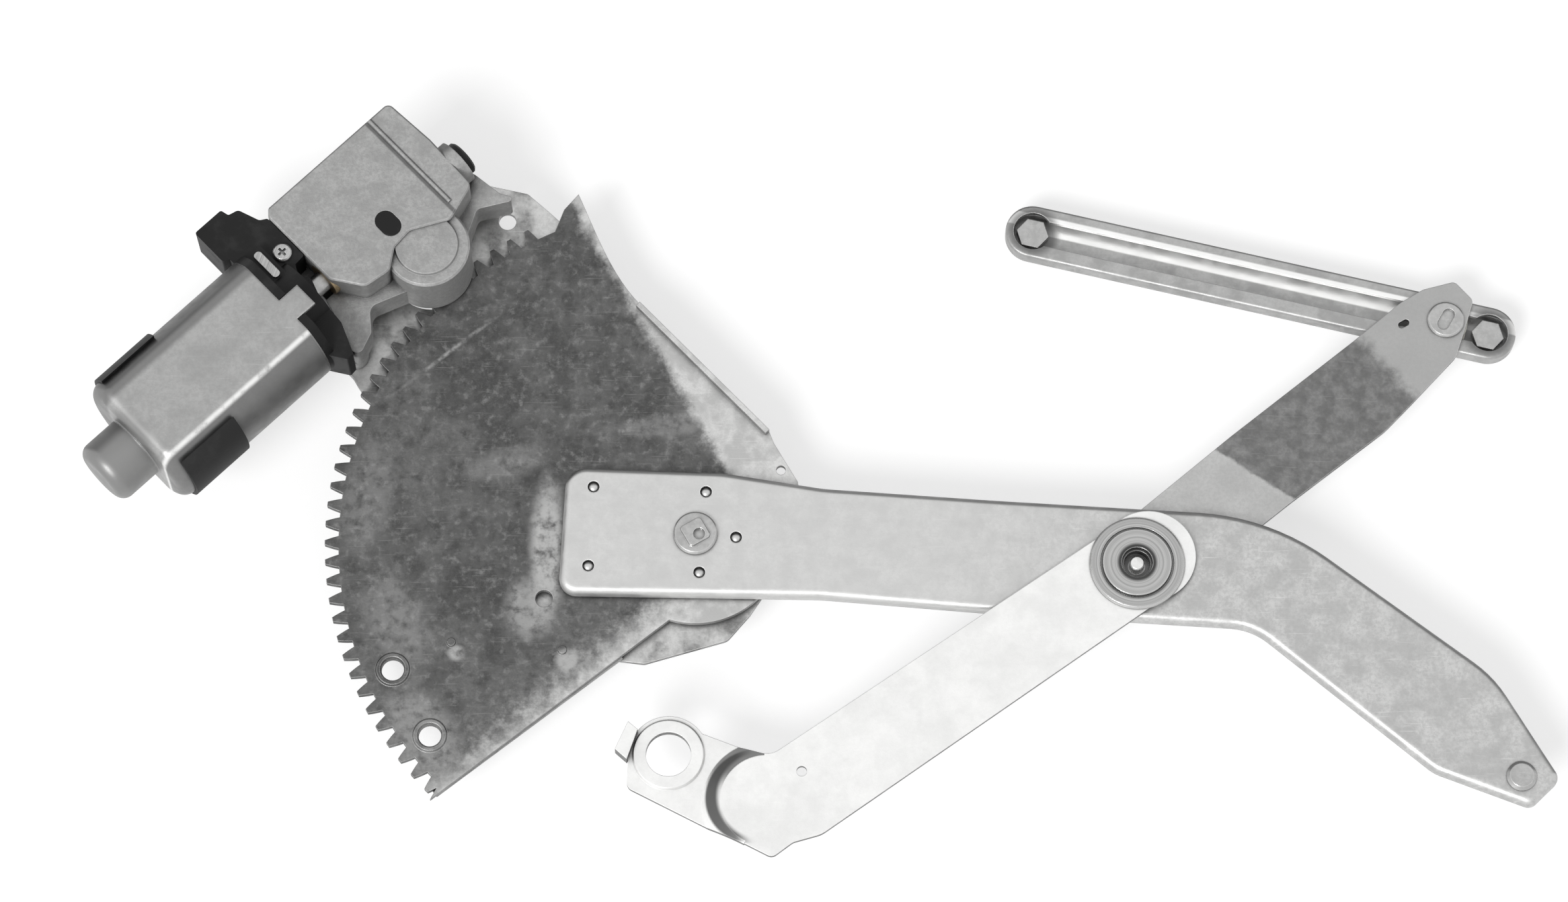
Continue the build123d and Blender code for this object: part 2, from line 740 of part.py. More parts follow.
with BuildPart() as guide_rail:
    with BuildSketch(rail_level(rail_bottom)):
        SlotCenterToCenter(rail_length, rail_width)
    extrude(amount=rail_depth)
    fillet(faces().sort_by(Axis.Z)[-1].edges(), rail_edge_radius)
    chamfer(faces().sort_by(Axis.Z)[0].edges(), rail_edge_radius)
    with BuildSketch(rail_level(rail_bottom + rail_wall)):
        SlotCenterToCenter(rail_length, rail_inside)
    extrude(amount=rail_depth - 2 * rail_wall, mode=Mode.SUBTRACT)
    with BuildSketch(rail_level(rail_bottom + rail_wall)):
        SlotCenterToCenter(rail_length, rail_slot)
        with Locations(*stud_stations):
            Circle(rail_stud_head_radius + rail_head_clearance)
    extrude(amount=rail_depth, mode=Mode.SUBTRACT)
    with BuildSketch(rail_level(rail_bottom)):
        with Locations(*stud_stations):
            Circle(rail_stud_shoulder + seat_fit)
    extrude(amount=rail_wall, mode=Mode.SUBTRACT)
guide_rail.part.label = "guide_rail"
export_step(guide_rail.part, "parts/guide_rail.step")

with BuildPart() as rail_studs:
    with BuildSketch(rail_level(rail_bottom + rail_wall)):
        with Locations(*stud_stations):
            RegularPolygon(rail_stud_head_radius, 6)
    extrude(amount=rail_stud_head_height)
    with BuildSketch(rail_level(rail_bottom)):
        with Locations(*stud_stations):
            Circle(rail_stud_shoulder)
    extrude(amount=rail_wall)
    with BuildSketch(rail_level(rail_bottom)):
        with Locations(*stud_stations):
            Circle(rail_stud_radius)
    extrude(amount=-rail_stud_length)
    chamfer(faces().group_by(Axis.Z)[0].edges(), 0.6)
rail_studs.part.label = "rail_studs"
export_step(rail_studs.part, "parts/rail_studs.step")

shoe_bottom = rail_bottom + rail_wall + side_gap
shoe_top = rail_top - rail_wall - side_gap
shoe_neck_top = upper_end_bottom - layer_gap
with BuildPart() as slider_shoe:
    with BuildSketch(rail_level(shoe_bottom)):
        with Locations((rail_length / 2 - slider_from_end, 0)):
            RectangleRounded(shoe_length, rail_inside - 2 * side_gap, shoe_corner)
    extrude(amount=shoe_top - shoe_bottom)
    with BuildSketch(rail_level(shoe_top)):
        with Locations((rail_length / 2 - slider_from_end, 0)):
            RectangleRounded(shoe_length, rail_slot - 2 * side_gap, shoe_corner)
    extrude(amount=shoe_neck_top - shoe_top)
    with BuildSketch(level(shoe_bottom)):
        with Locations(slider):
            Circle(slider_pin_neck + running_fit)
    extrude(amount=rail_depth, mode=Mode.SUBTRACT)
slider_shoe.part.label = "slider_shoe"
export_step(slider_shoe.part, "parts/slider_shoe.step")

slider_slot_length = 9.0
slider_slot_width = 4.6
slider_slot_depth = 1.1
with BuildPart() as slider_pin:
    with BuildSketch(level(upper_end_top)):
        with Locations(slider):
            Circle(slider_pin_head_radius)
    extrude(amount=slider_pin_head_height)
    chamfer(faces().sort_by(Axis.Z)[-1].edges(), 0.6)
    with BuildSketch(level(upper_end_top + slider_pin_head_height)):
        with Locations(slider):
            SlotOverall(slider_slot_length, slider_slot_width, rotation=60)
    extrude(amount=-slider_slot_depth, mode=Mode.SUBTRACT)
    with BuildSketch(level(upper_end_top)):
        with Locations(slider):
            Circle(slider_pin_radius)
    extrude(amount=-equaliser_thickness)
    with BuildSketch(level(upper_end_bottom)):
        with Locations(slider):
            Circle(slider_pin_neck)
    extrude(amount=shoe_bottom + 0.3 - upper_end_bottom)
slider_pin.part.label = "slider_pin"
export_step(slider_pin.part, "parts/slider_pin.step")

# --- motor can --------------------------------------------------------------------------------
can_tab_side = -6.0  # place of the two crimp tabs across the can
can_tab_width = 10.0
can_tab_length = 9.0
tab_spots = [(can_tab_side, can_flat - can_wall / 2), (can_tab_side, can_wall / 2 - can_flat)]
can_corner = 5.0
nose_corner = 4.5
can_front = Axis((0, 0, 0), (axis_x, axis_y, 0))


def can_profile(inset):
    """Round section with two flats, in the open sketch."""
    Circle(can_radius - inset)
    Rectangle(4 * can_radius, 2 * (can_flat - inset), mode=Mode.INTERSECT)
    fillet(vertices(), can_corner)


with BuildPart() as motor_can:
    with BuildSketch(motor_station(can_closed_end)):
        can_profile(0)
    extrude(amount=can_open_end - can_closed_end)
    fillet(faces().sort_by(can_front)[0].edges(), can_corner)
    with BuildSketch(motor_station(can_closed_end + 1)):
        Circle(can_nose_radius)
    extrude(amount=-(can_nose_length + 1))
    fillet(faces().sort_by(can_front)[0].edges(), nose_corner)
    with BuildSketch(motor_station(can_closed_end + can_wall)):
        can_profile(can_wall)
    extrude(amount=can_open_end - can_closed_end, mode=Mode.SUBTRACT)
    with BuildSketch(motor_station(can_closed_end - can_nose_length + can_wall)):
        Circle(can_nose_radius - can_wall)
    extrude(amount=can_nose_length + 1, mode=Mode.SUBTRACT)
    with BuildSketch(motor_station(can_open_end)):
        with Locations(*tab_spots):
            Rectangle(can_tab_width, can_wall)
    extrude(amount=can_tab_length)
motor_can.part.label = "motor_can"
export_step(motor_can.part, "parts/motor_can.step")

with BuildPart() as can_boot:
    with BuildSketch(motor_station(can_closed_end + boot_setback)):
        can_profile(-boot_thickness)
        with Locations((0, can_flat)):
            Rectangle(boot_opening, can_flat, mode=Mode.SUBTRACT)
    extrude(amount=boot_length - boot_setback)
    with BuildSketch(motor_station(can_closed_end)):
        can_profile(-seat_fit)
    extrude(amount=boot_length, mode=Mode.SUBTRACT)
can_boot.part.label = "can_boot"
export_step(can_boot.part, "parts/can_boot.step")

bearing_setback = 3.0
with BuildPart() as end_bearing:
    with BuildSketch(motor_station(can_closed_end - can_nose_length + can_wall + bearing_setback)):
        Circle(can_nose_radius - can_wall - seat_fit)
        Circle(shaft_radius + running_fit, mode=Mode.SUBTRACT)
    extrude(amount=bearing_length)
end_bearing.part.label = "end_bearing"
export_step(end_bearing.part, "parts/end_bearing.step")

core_radius = can_flat - can_wall - air_gap
magnet_start = can_closed_end + magnet_setback
core_start = magnet_start + magnet_overhang
magnet_outer = can_radius - can_wall - seat_fit
magnet_inner = core_radius + air_gap
with BuildPart() as magnets:
    with BuildSketch(motor_station(magnet_start)):
        Circle(magnet_outer)
        Circle(magnet_inner, mode=Mode.SUBTRACT)
        for side in (90, 270):
            with BuildLine():
                Polyline(
                    (0, 0),
                    on_plate(2 * can_radius, side - magnet_gap),
                    on_plate(2 * can_radius, side + magnet_gap),
                    close=True,
                )
            make_face(mode=Mode.SUBTRACT)
    extrude(amount=core_length + 2 * magnet_overhang)
magnets.part.label = "magnets"
export_step(magnets.part, "parts/magnets.step")

# --- armature: shaft with its worm, laminations, windings, commutator ----------------------------
worm_pitch_radius = 5.0
worm_lead = pi * worm_module
worm_turns = 5  # an odd number turns the crest to the wheel at the middle
worm_root_radius = worm_pitch_radius - 1.2 * worm_module
thread_depth = 2.2 * worm_module
thread_bite = 0.3  # depth of the thread's foot in the shaft
thread_foot = 0.75 * worm_module  # half widths of the thread
thread_crest = 0.3 * worm_module
worm_runout = 3.0
shaft_start = can_closed_end - can_nose_length + can_wall + end_gap
shaft_end = 27.0
worm_start = motor_station(-worm_turns / 2 * worm_lead)
# single-start right-hand thread
thread_path = worm_start.from_local_coords(Helix(worm_lead, worm_turns * worm_lead, worm_root_radius))
thread_section = Plane(origin=thread_path @ 0, x_dir=worm_start.x_dir, z_dir=thread_path % 0)
with BuildPart() as worm_shaft:
    with BuildSketch(motor_station(shaft_start)):
        Circle(shaft_radius)
    extrude(amount=shaft_end - shaft_start)
    with BuildSketch(motor_station(-worm_turns / 2 * worm_lead - worm_runout)):
        Circle(shaft_radius + 1)
        Circle(worm_root_radius, mode=Mode.SUBTRACT)
    extrude(amount=worm_turns * worm_lead + 2 * worm_runout, mode=Mode.SUBTRACT)
    with BuildSketch(thread_section):
        with BuildLine():
            Polyline(
                (-thread_bite, -thread_foot),
                (thread_depth, -thread_crest),
                (thread_depth, thread_crest),
                (-thread_bite, thread_foot),
                close=True,
            )
        make_face()
    sweep(path=thread_path, is_frenet=True)
worm_shaft.part.label = "worm_shaft"
export_step(worm_shaft.part, "parts/worm_shaft.step")

# laminated core with ten slots, pressed on the shaft
core_slots = 10
slot_width = 2.4
slot_depth = 9.0
winding_length = 6.0
winding_setback = 2.0
with BuildPart() as armature_core:
    with BuildSketch(motor_station(core_start)):
        Circle(core_radius)
        Circle(shaft_radius + seat_fit, mode=Mode.SUBTRACT)
        with PolarLocations(core_radius - slot_depth / 2 + 0.5, core_slots):
            Rectangle(slot_depth + 1, slot_width, mode=Mode.SUBTRACT)
    extrude(amount=core_length)
armature_core.part.label = "armature_core"
export_step(armature_core.part, "parts/armature_core.step")

with BuildPart() as armature_windings:
    for station in (core_start - winding_length, core_start + core_length):
        with BuildSketch(motor_station(station)):
            Circle(core_radius - winding_setback)
            Circle(shaft_radius + seat_fit, mode=Mode.SUBTRACT)
        extrude(amount=winding_length)
armature_windings.part.label = "armature_windings"
export_step(armature_windings.part, "parts/armature_windings.step")

commutator_start = core_start + core_length + winding_length + 1
commutator_bars = 10
bar_slot_depth = 1.2
bar_slot_width = 0.5
with BuildPart() as commutator:
    with BuildSketch(motor_station(commutator_start)):
        Circle(commutator_radius)
        Circle(shaft_radius + seat_fit, mode=Mode.SUBTRACT)
        with PolarLocations(commutator_radius, commutator_bars):
            Rectangle(2 * bar_slot_depth, bar_slot_width, mode=Mode.SUBTRACT)
    extrude(amount=commutator_length)
commutator.part.label = "commutator"
export_step(commutator.part, "parts/commutator.step")

# --- brush housing with the connector -----------------------------------------------------------
housing_collar = 3.5  # ring that closes the can
brush_bore = 13.4
brush_length = brush_bore - commutator_radius - running_fit
brush_width = 6.0
brush_thickness = 5.0
brush_station = commutator_start + commutator_length / 2
barrel_radius = 14.8
barrel_end = -43.6
barrel_wall = 1.2
barrel_opening = 20.0
shaft_clearance = 2.0
housing_bottom = motor_height - 11.0
housing_top = motor_height + 8.0

socket_length = 10.4
socket_height = 13.2
socket_depth = 12.0
socket_station = -53.2
connector_face = 45.0
terminal_width = 2.8
terminal_thickness = 0.8
terminal_spacing = 5.6
terminal_length = 6.0

housing_corners = [
    ((-57.5, 20.0), 0),
    ((-57.5, 27.9), 0),
    ((-60.0, 29.6), 1),
    ((-60.0, connector_face), 1),
    ((-46.8, connector_face), 1),
    ((-46.0, 41.6), 1),
    ((-42.0, 40.6), 2),
    ((-39.0, 32.0), 2),
    ((-36.3, 30.4), 1),
    ((-36.3, 10.0), 0.5),
    ((-41.0, 9.6), 0.5),
    ((-43.4, 5.4), 1),
    ((-40.6, 1.2), 1),
    ((-43.2, -6.3), 1),
    ((-44.2, -19.4), 2),
    ((-49.2, -31.4), 1),
    ((-52.4, -31.8), 1),
    ((-57.5, -24.0), 0),
]
clip_sides = (9.0, 21.6)
clip_station = -49.7
clip_width = 3.2
clip_thickness = 1.0
clip_margin = 2.0  # width of the pad round the clip
clip_length = clip_sides[1] - clip_sides[0]
clip_centre = (clip_station, sum(clip_sides) / 2)
pad_height = 4.2
pad_top = housing_top + pad_height
can_screw_spot = (-41.6, 16.2)
can_screw_head = 3.6
can_screw_head_height = 1.8
can_screw_shank = 1.9
can_screw_depth = 8.0
tab_clearance = 0.3
socket_face = Plane(
    origin=(*motor_point(socket_station, connector_face), motor_height),
    x_dir=(axis_x, axis_y, 0),
    z_dir=(-axis_y, axis_x, 0),
)

with BuildPart() as brush_housing:
    with BuildSketch(motor_station(can_open_end)):
        can_profile(0)
    extrude(amount=housing_collar)
    with BuildSketch(motor_level(housing_bottom)):
        rounded(housing_corners)
    extrude(amount=housing_top - housing_bottom)
    with BuildSketch(motor_station(can_open_end)):
        Circle(barrel_radius)
    extrude(amount=barrel_end - can_open_end)
    with BuildSketch(motor_level(housing_top)):
        with Locations(clip_centre):
            RectangleRounded(clip_width + 2 * clip_margin, clip_length + 2 * clip_margin, 1.5)
    extrude(amount=pad_height, taper=4)
    with BuildSketch(motor_station(can_open_end)):
        Circle(brush_bore)
    extrude(amount=barrel_end - barrel_wall - can_open_end, mode=Mode.SUBTRACT)
    with BuildSketch(motor_station(barrel_end - barrel_wall)):
        Circle(shaft_radius + shaft_clearance)
    extrude(amount=barrel_opening, mode=Mode.SUBTRACT)
    with BuildSketch(motor_station(can_open_end)):
        with Locations(*tab_spots):
            Rectangle(can_tab_width + 2 * tab_clearance, can_wall + 2 * tab_clearance)
    extrude(amount=can_tab_length, mode=Mode.SUBTRACT)
    with BuildSketch(socket_face):
        RectangleRounded(socket_length, socket_height, 1)
    extrude(amount=-socket_depth, mode=Mode.SUBTRACT)
    with BuildSketch(motor_level(housing_top)):
        with Locations(can_screw_spot):
            Circle(can_screw_shank)
    extrude(amount=-can_screw_depth, mode=Mode.SUBTRACT)
brush_housing.part.label = "brush_housing"
export_step(brush_housing.part, "parts/brush_housing.step")

with BuildPart() as connector_terminals:
    for height in (motor_height - terminal_spacing / 2, motor_height + terminal_spacing / 2):
        terminal_side = connector_face - socket_depth
        with BuildSketch(motor_level(height - terminal_width / 2)):
            with Locations((socket_station, terminal_side + terminal_length / 2)):
                Rectangle(terminal_thickness, terminal_length)
        extrude(amount=terminal_width)
connector_terminals.part.label = "connector_terminals"
export_step(connector_terminals.part, "parts/connector_terminals.step")

with BuildPart() as brushes:
    with BuildSketch(motor_station(brush_station - brush_thickness / 2)):
        for way in (-1, 1):
            with Locations((way * (brush_bore - brush_length / 2), 0)):
                Rectangle(brush_length, brush_width)
        Circle(commutator_radius + running_fit, mode=Mode.SUBTRACT)
    extrude(amount=brush_thickness)
brushes.part.label = "brushes"
export_step(brushes.part, "parts/brushes.step")

with BuildPart() as housing_clip:
    with BuildSketch(motor_level(pad_top)):
        with Locations(clip_centre):
            RectangleRounded(clip_width, clip_length, 1.4)
    extrude(amount=clip_thickness)
housing_clip.part.label = "housing_clip"
export_step(housing_clip.part, "parts/housing_clip.step")

cross_width = 0.9
cross_depth = 1.1
with BuildPart() as housing_screw:
    with BuildSketch(motor_level(housing_top)):
        with Locations(can_screw_spot):
            Circle(can_screw_head)
    extrude(amount=can_screw_head_height)
    chamfer(faces().sort_by(Axis.Z)[-1].edges(), 0.6)
    with BuildSketch(motor_level(housing_top)):
        with Locations(can_screw_spot):
            Circle(can_screw_shank - seat_fit)
    extrude(amount=end_gap - can_screw_depth)
    with BuildSketch(motor_level(housing_top + can_screw_head_height)):
        with Locations(can_screw_spot):
            Rectangle(can_screw_head, cross_width)
            Rectangle(cross_width, can_screw_head)
    extrude(amount=-cross_depth, mode=Mode.SUBTRACT)
housing_screw.part.label = "housing_screw"
export_step(housing_screw.part, "parts/housing_screw.step")

# --- gear case --------------------------------------------------------------------------------
block_corners = [
    ((-36.0, 30.2), 2),
    ((-33.5, 33.0), 1.5),
    ((28.0, 33.0), 2.5),
    ((29.4, 11.2), 0),
    ((28.5, -13.0), 4),
    ((13.0, -17.8), 3),
    ((-1.0, -10.4), 4),
    ((-9.6, -11.3), 4),
    ((-17.2, -16.9), 4),
    ((-28.2, -15.4), 4),
    ((-36.0, -4.0), 3),
]
flange_corners = [
    ((-36.0, 28.0), 2),
    ((28.0, 28.0), 2),
    ((30.6, 4.0), 2),
    ((35.0, -6.9), 4),
    ((36.6, -19.0), 4),
    ((41.0, -26.0), 1.2),
    ((26.0, -17.5), 3),
    ((14.0, -24.0), 3),
    ((-14.0, -24.0), 3),
    ((-29.8, -18.2), 4),
    ((-36.5, -26.3), 3),
    ((-48.4, -31.0), 2.5),
    ((-43.4, -18.3), 4),
    ((-39.6, -4.0), 2),
    ((-39.0, 1.0), 2),
    ((-42.6, 5.6), 1.5),
    ((-40.0, 9.3), 1),
    ((-36.0, 9.3), 0),
]
flange_height = 13.7
boss_edge = 0.8
ridge_corners = [
    ((19.0, 31.6), 2),
    ((27.6, 31.6), 2),
    ((28.4, 11.2), 0),
    ((28.0, -11.0), 3),
    ((19.5, -14.6), 2),
    ((12.6, -14.2), 0.6),
    ((18.0, -9.0), 3),
]
ridge_height = 2.5
tube_radius = 9.0
tube_end = 33.0
worm_bore_radius = 7.0
plug_start = 29.0
plug_end = 36.0
wheel_clearance = 0.5
wheel_head_room = 0.6
wheel_tip_radius = worm_module * (wheel_teeth / 2 + 0.9)
cavity_radius = wheel_tip_radius + wheel_clearance
wheel_bottom = motor_height - wheel_thickness / 2
wheel_top = motor_height + wheel_thickness / 2
cavity_top = wheel_top + wheel_head_room
case_boss_top = cavity_top + case_boss_roof
trunnion_radius = 3.0
trunnion_length = 1.8
ear_radius = 5.0
screw_depth = 12.0
vent_spot = (-5.0, -2.8)
vent_length = 11.0
vent_width = 8.0
vent_depth = 1.2
vent_rise = 0.4
case_edge = 0.6
tube_start = 10.0
worm_bore_start = -45.0
worm_bore_length = 85.0

with BuildPart() as gear_case:
    with BuildSketch(motor_level(case_bottom)):
        rounded(block_corners)
    extrude(amount=case_top - case_bottom)
    chamfer(faces().sort_by(Axis.Z)[-1].edges(), case_edge)
    with BuildSketch(motor_level(case_bottom)):
        rounded(flange_corners)
    extrude(amount=flange_height)
    with BuildSketch(level(case_bottom)):
        with Locations((pinion_x, pinion_y)):
            Circle(case_boss_radius)
    extrude(amount=case_boss_top - boss_edge - case_bottom)
    with BuildSketch(level(case_boss_top - boss_edge)):
        with Locations((pinion_x, pinion_y)):
            Circle(case_boss_radius)
    extrude(amount=boss_edge, taper=45)
    with BuildSketch(level(case_boss_top)):
        with Locations((pinion_x, pinion_y)):
            Circle(cap_radius)
    extrude(amount=cap_height, taper=20)
    with BuildSketch(motor_level(case_top)):
        rounded(ridge_corners)
    extrude(amount=ridge_height, taper=10)
    with BuildSketch(motor_station(tube_start)):
        Circle(tube_radius)
    extrude(amount=tube_end - tube_start)
    with BuildSketch(level(base_thickness)):
        with Locations(*ear_points):
            Circle(ear_radius)
    extrude(amount=case_bottom - base_thickness)
    # worm bore, wheel chamber and the upper bearing of the output gear
    with BuildSketch(motor_station(worm_bore_start)):
        Circle(worm_bore_radius)
    extrude(amount=worm_bore_length, mode=Mode.SUBTRACT)
    with BuildSketch(level(case_bottom)):
        with Locations((pinion_x, pinion_y)):
            Circle(cavity_radius)
    extrude(amount=cavity_top - case_bottom, mode=Mode.SUBTRACT)
    with BuildSketch(level(cavity_top)):
        with Locations((pinion_x, pinion_y)):
            Circle(trunnion_radius + running_fit)
    extrude(amount=trunnion_length, mode=Mode.SUBTRACT)
    with BuildSketch(level(base_thickness)):
        with Locations(*ear_points):
            Circle(screw_radius)
    extrude(amount=screw_depth, mode=Mode.SUBTRACT)
    with BuildSketch(motor_level(case_top)):
        with Locations(vent_spot):
            SlotOverall(vent_length, vent_width, rotation=90)
    extrude(amount=-vent_depth, mode=Mode.SUBTRACT)
gear_case.part.label = "gear_case"
export_step(gear_case.part, "parts/gear_case.step")

journal_radius = 6.0
seat_radius = 5.0
journal_top = wheel_bottom - wheel_head_room
bush_outer_radius = 8.0
cover_bottom = case_bottom + 0.2  # the cover lies just inside the case's mouth
cover_thickness = 5.0
cover_tube_radius = 9.5
pinion_bottom = sector_bottom - 0.8
pinion_top = sector_top + 1.1
bush_bottom = cover_bottom + end_gap
with BuildPart() as case_cover:
    with BuildSketch(level(cover_bottom)):
        with Locations((pinion_x, pinion_y)):
            Circle(cavity_radius - seat_fit)
    extrude(amount=cover_thickness)
    with BuildSketch(level(cover_bottom + cover_thickness)):
        with Locations((pinion_x, pinion_y)):
            Circle(cover_tube_radius)
    extrude(amount=journal_top - cover_bottom - cover_thickness)
    with BuildSketch(level(cover_bottom)):
        with Locations((pinion_x, pinion_y)):
            Circle(bush_outer_radius + seat_fit)
    extrude(amount=journal_top - cover_bottom, mode=Mode.SUBTRACT)
case_cover.part.label = "case_cover"
export_step(case_cover.part, "parts/case_cover.step")

with BuildPart() as output_bush:
    with BuildSketch(level(bush_bottom)):
        with Locations((pinion_x, pinion_y)):
            Circle(bush_outer_radius)
            Circle(journal_radius + running_fit, mode=Mode.SUBTRACT)
    extrude(amount=journal_top - end_gap - bush_bottom)
output_bush.part.label = "output_bush"
export_step(output_bush.part, "parts/output_bush.step")

front_bearing_station = -36.0
front_bearing_length = 7.0
with BuildPart() as front_bearing:
    with BuildSketch(motor_station(front_bearing_station)):
        Circle(worm_bore_radius - seat_fit)
        Circle(shaft_radius + running_fit, mode=Mode.SUBTRACT)
    extrude(amount=front_bearing_length)
front_bearing.part.label = "front_bearing"
export_step(front_bearing.part, "parts/front_bearing.step")

with BuildPart() as worm_bore_plug:
    with BuildSketch(motor_station(plug_start)):
        Circle(worm_bore_radius - seat_fit)
    extrude(amount=plug_end - plug_start)
    chamfer(edges().filter_by(GeomType.CIRCLE), 0.8)
worm_bore_plug.part.label = "worm_bore_plug"
export_step(worm_bore_plug.part, "parts/worm_bore_plug.step")

with BuildPart() as case_vent:
    with BuildSketch(motor_level(case_top - vent_depth)):
        with Locations(vent_spot):
            SlotOverall(vent_length - 2 * seat_fit, vent_width - 2 * seat_fit, rotation=90)
    extrude(amount=vent_depth + vent_rise)
    chamfer(faces().sort_by(Axis.Z)[-1].edges(), vent_rise)
case_vent.part.label = "case_vent"
export_step(case_vent.part, "parts/case_vent.step")

hex_key_radius = 1.7
hex_key_depth = 1.4
with BuildPart() as case_screws:
    with BuildSketch():
        with Locations(*ear_points):
            Circle(screw_head_radius - seat_fit)
    extrude(amount=base_thickness, taper=45)
    with BuildSketch():
        with Locations(*ear_points):
            Circle(screw_radius - seat_fit)
    extrude(amount=base_thickness + screw_depth - end_gap)
    with BuildSketch():
        with Locations(*ear_points):
            RegularPolygon(hex_key_radius, 6)
    extrude(amount=hex_key_depth, mode=Mode.SUBTRACT)
case_screws.part.label = "case_screws"
export_step(case_screws.part, "parts/case_screws.step")

# --- output gear: worm wheel and drive pinion -----------------------------------------------------
wheel_pitch = 360 / wheel_teeth
wheel_directions = [worm_angle + 90 + wheel_pitch * (i + 0.5) for i in range(wheel_teeth)]
wheel_root_radius = worm_module * (wheel_teeth / 2 - 1.2)
wheel_tooth_relief = 0.5
with BuildPart() as worm_wheel:
    with BuildSketch(Plane(origin=(pinion_x, pinion_y, wheel_bottom))):
        with BuildLine():
            Polyline(
                *gear_outline(
                    wheel_teeth,
                    worm_module,
                    0,
                    wheel_root_radius,
                    wheel_tip_radius,
                    wheel_tooth_relief,
                    wheel_directions,
                ),
                close=True,
            )
        make_face()
        Circle(seat_radius + seat_fit, mode=Mode.SUBTRACT)
    extrude(amount=wheel_thickness)
worm_wheel.part.label = "worm_wheel"
export_step(worm_wheel.part, "parts/worm_wheel.step")

# the pinion has a gap on the centre line wherever the sector has a tooth there
tooth_offset = (first_tooth_direction - pinion_direction) % sector_pitch
pinion_pitch = 360 / pinion_teeth
pinion_gap = pinion_direction + 180 - tooth_offset * sector_teeth / pinion_teeth
pinion_directions = [pinion_gap + pinion_pitch * (i + 0.5) for i in range(pinion_teeth)]
with BuildPart() as drive_pinion:
    with BuildSketch(Plane(origin=(pinion_x, pinion_y, pinion_bottom))):
        with BuildLine():
            Polyline(
                *gear_outline(
                    pinion_teeth,
                    gear_module,
                    tooth_shift,
                    pinion_root_radius,
                    pinion_tip_radius,
                    tooth_backlash,
                    pinion_directions,
                ),
                close=True,
            )
        make_face()
    extrude(amount=pinion_top - pinion_bottom)
    with BuildSketch(Plane(origin=(pinion_x, pinion_y, pinion_top))):
        Circle(journal_radius)
    extrude(amount=journal_top - pinion_top)
    with BuildSketch(Plane(origin=(pinion_x, pinion_y, journal_top))):
        Circle(seat_radius)
    extrude(amount=wheel_top - journal_top)
    with BuildSketch(Plane(origin=(pinion_x, pinion_y, wheel_top))):
        Circle(trunnion_radius)
    extrude(amount=wheel_head_room + trunnion_length - end_gap)
drive_pinion.part.label = "drive_pinion"
export_step(drive_pinion.part, "parts/drive_pinion.step")
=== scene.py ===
"""Cross-arm electric window regulator: its plated, cast and moulded finishes and small fittings."""

import json
from math import atan2, cos, pi, radians, sin

import bmesh
import bpy
from mathutils import Matrix, Vector


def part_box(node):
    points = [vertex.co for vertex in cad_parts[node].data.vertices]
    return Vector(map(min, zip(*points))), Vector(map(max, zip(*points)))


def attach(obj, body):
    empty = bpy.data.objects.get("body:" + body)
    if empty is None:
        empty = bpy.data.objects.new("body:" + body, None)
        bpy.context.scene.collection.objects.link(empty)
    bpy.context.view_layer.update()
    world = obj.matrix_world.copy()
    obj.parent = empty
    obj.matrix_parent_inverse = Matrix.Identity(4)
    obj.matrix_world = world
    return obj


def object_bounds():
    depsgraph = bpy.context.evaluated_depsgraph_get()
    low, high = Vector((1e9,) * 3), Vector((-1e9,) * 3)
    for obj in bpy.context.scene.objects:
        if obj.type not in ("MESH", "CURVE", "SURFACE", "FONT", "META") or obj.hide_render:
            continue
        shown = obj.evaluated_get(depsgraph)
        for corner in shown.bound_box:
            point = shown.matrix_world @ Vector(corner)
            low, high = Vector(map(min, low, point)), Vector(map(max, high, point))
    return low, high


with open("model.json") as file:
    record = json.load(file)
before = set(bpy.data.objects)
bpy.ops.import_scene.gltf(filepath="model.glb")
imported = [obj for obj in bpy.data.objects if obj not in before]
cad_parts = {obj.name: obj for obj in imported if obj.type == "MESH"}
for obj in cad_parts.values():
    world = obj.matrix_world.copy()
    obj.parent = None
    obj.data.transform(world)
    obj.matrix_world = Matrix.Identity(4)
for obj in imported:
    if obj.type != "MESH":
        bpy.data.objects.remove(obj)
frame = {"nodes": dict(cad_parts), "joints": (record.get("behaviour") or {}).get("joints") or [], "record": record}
solid_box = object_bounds()
nodes = frame["nodes"]

# --- camera ---------------------------------------------------------------------------------------
# A long lens looks down at the regulator, tilted a little towards its lower edge, so that the
# sheets are seen nearly flat and the motor stands out of them.


def put_in_scene(name, data):
    """A new object that holds this data, linked to the scene."""
    thing = bpy.data.objects.new(name, data)
    bpy.context.scene.collection.objects.link(thing)
    return thing


camera_tilt = radians(18.0)
camera_data = bpy.data.cameras.new("camera")
camera_data.lens = 133.56
camera_data.sensor_width = 36.0
camera_data.clip_end = 20.0
camera = put_in_scene("camera", camera_data)
camera.location = (0.03315, -0.64316, 2.09232)
camera.rotation_euler = (camera_tilt, 0.0, 0.0)
bpy.context.scene.camera = camera

# --- floor and light ------------------------------------------------------------------------------
# A white studio table in a white room, with one large soft lamp high at the front left. The table
# and the room look white to the camera and in the metal, whatever light they give.
floor_gap = 0.0004
floor_height = solid_box[0].z - floor_gap
floor_half = 6.0
floor_mesh = bpy.data.meshes.new("floor")
floor_shape = bmesh.new()
bmesh.ops.create_grid(floor_shape, x_segments=1, y_segments=1, size=floor_half)
bmesh.ops.translate(floor_shape, verts=floor_shape.verts, vec=(0.0, 0.0, floor_height))
floor_shape.to_mesh(floor_mesh)
floor_shape.free()
floor = put_in_scene("floor", floor_mesh)


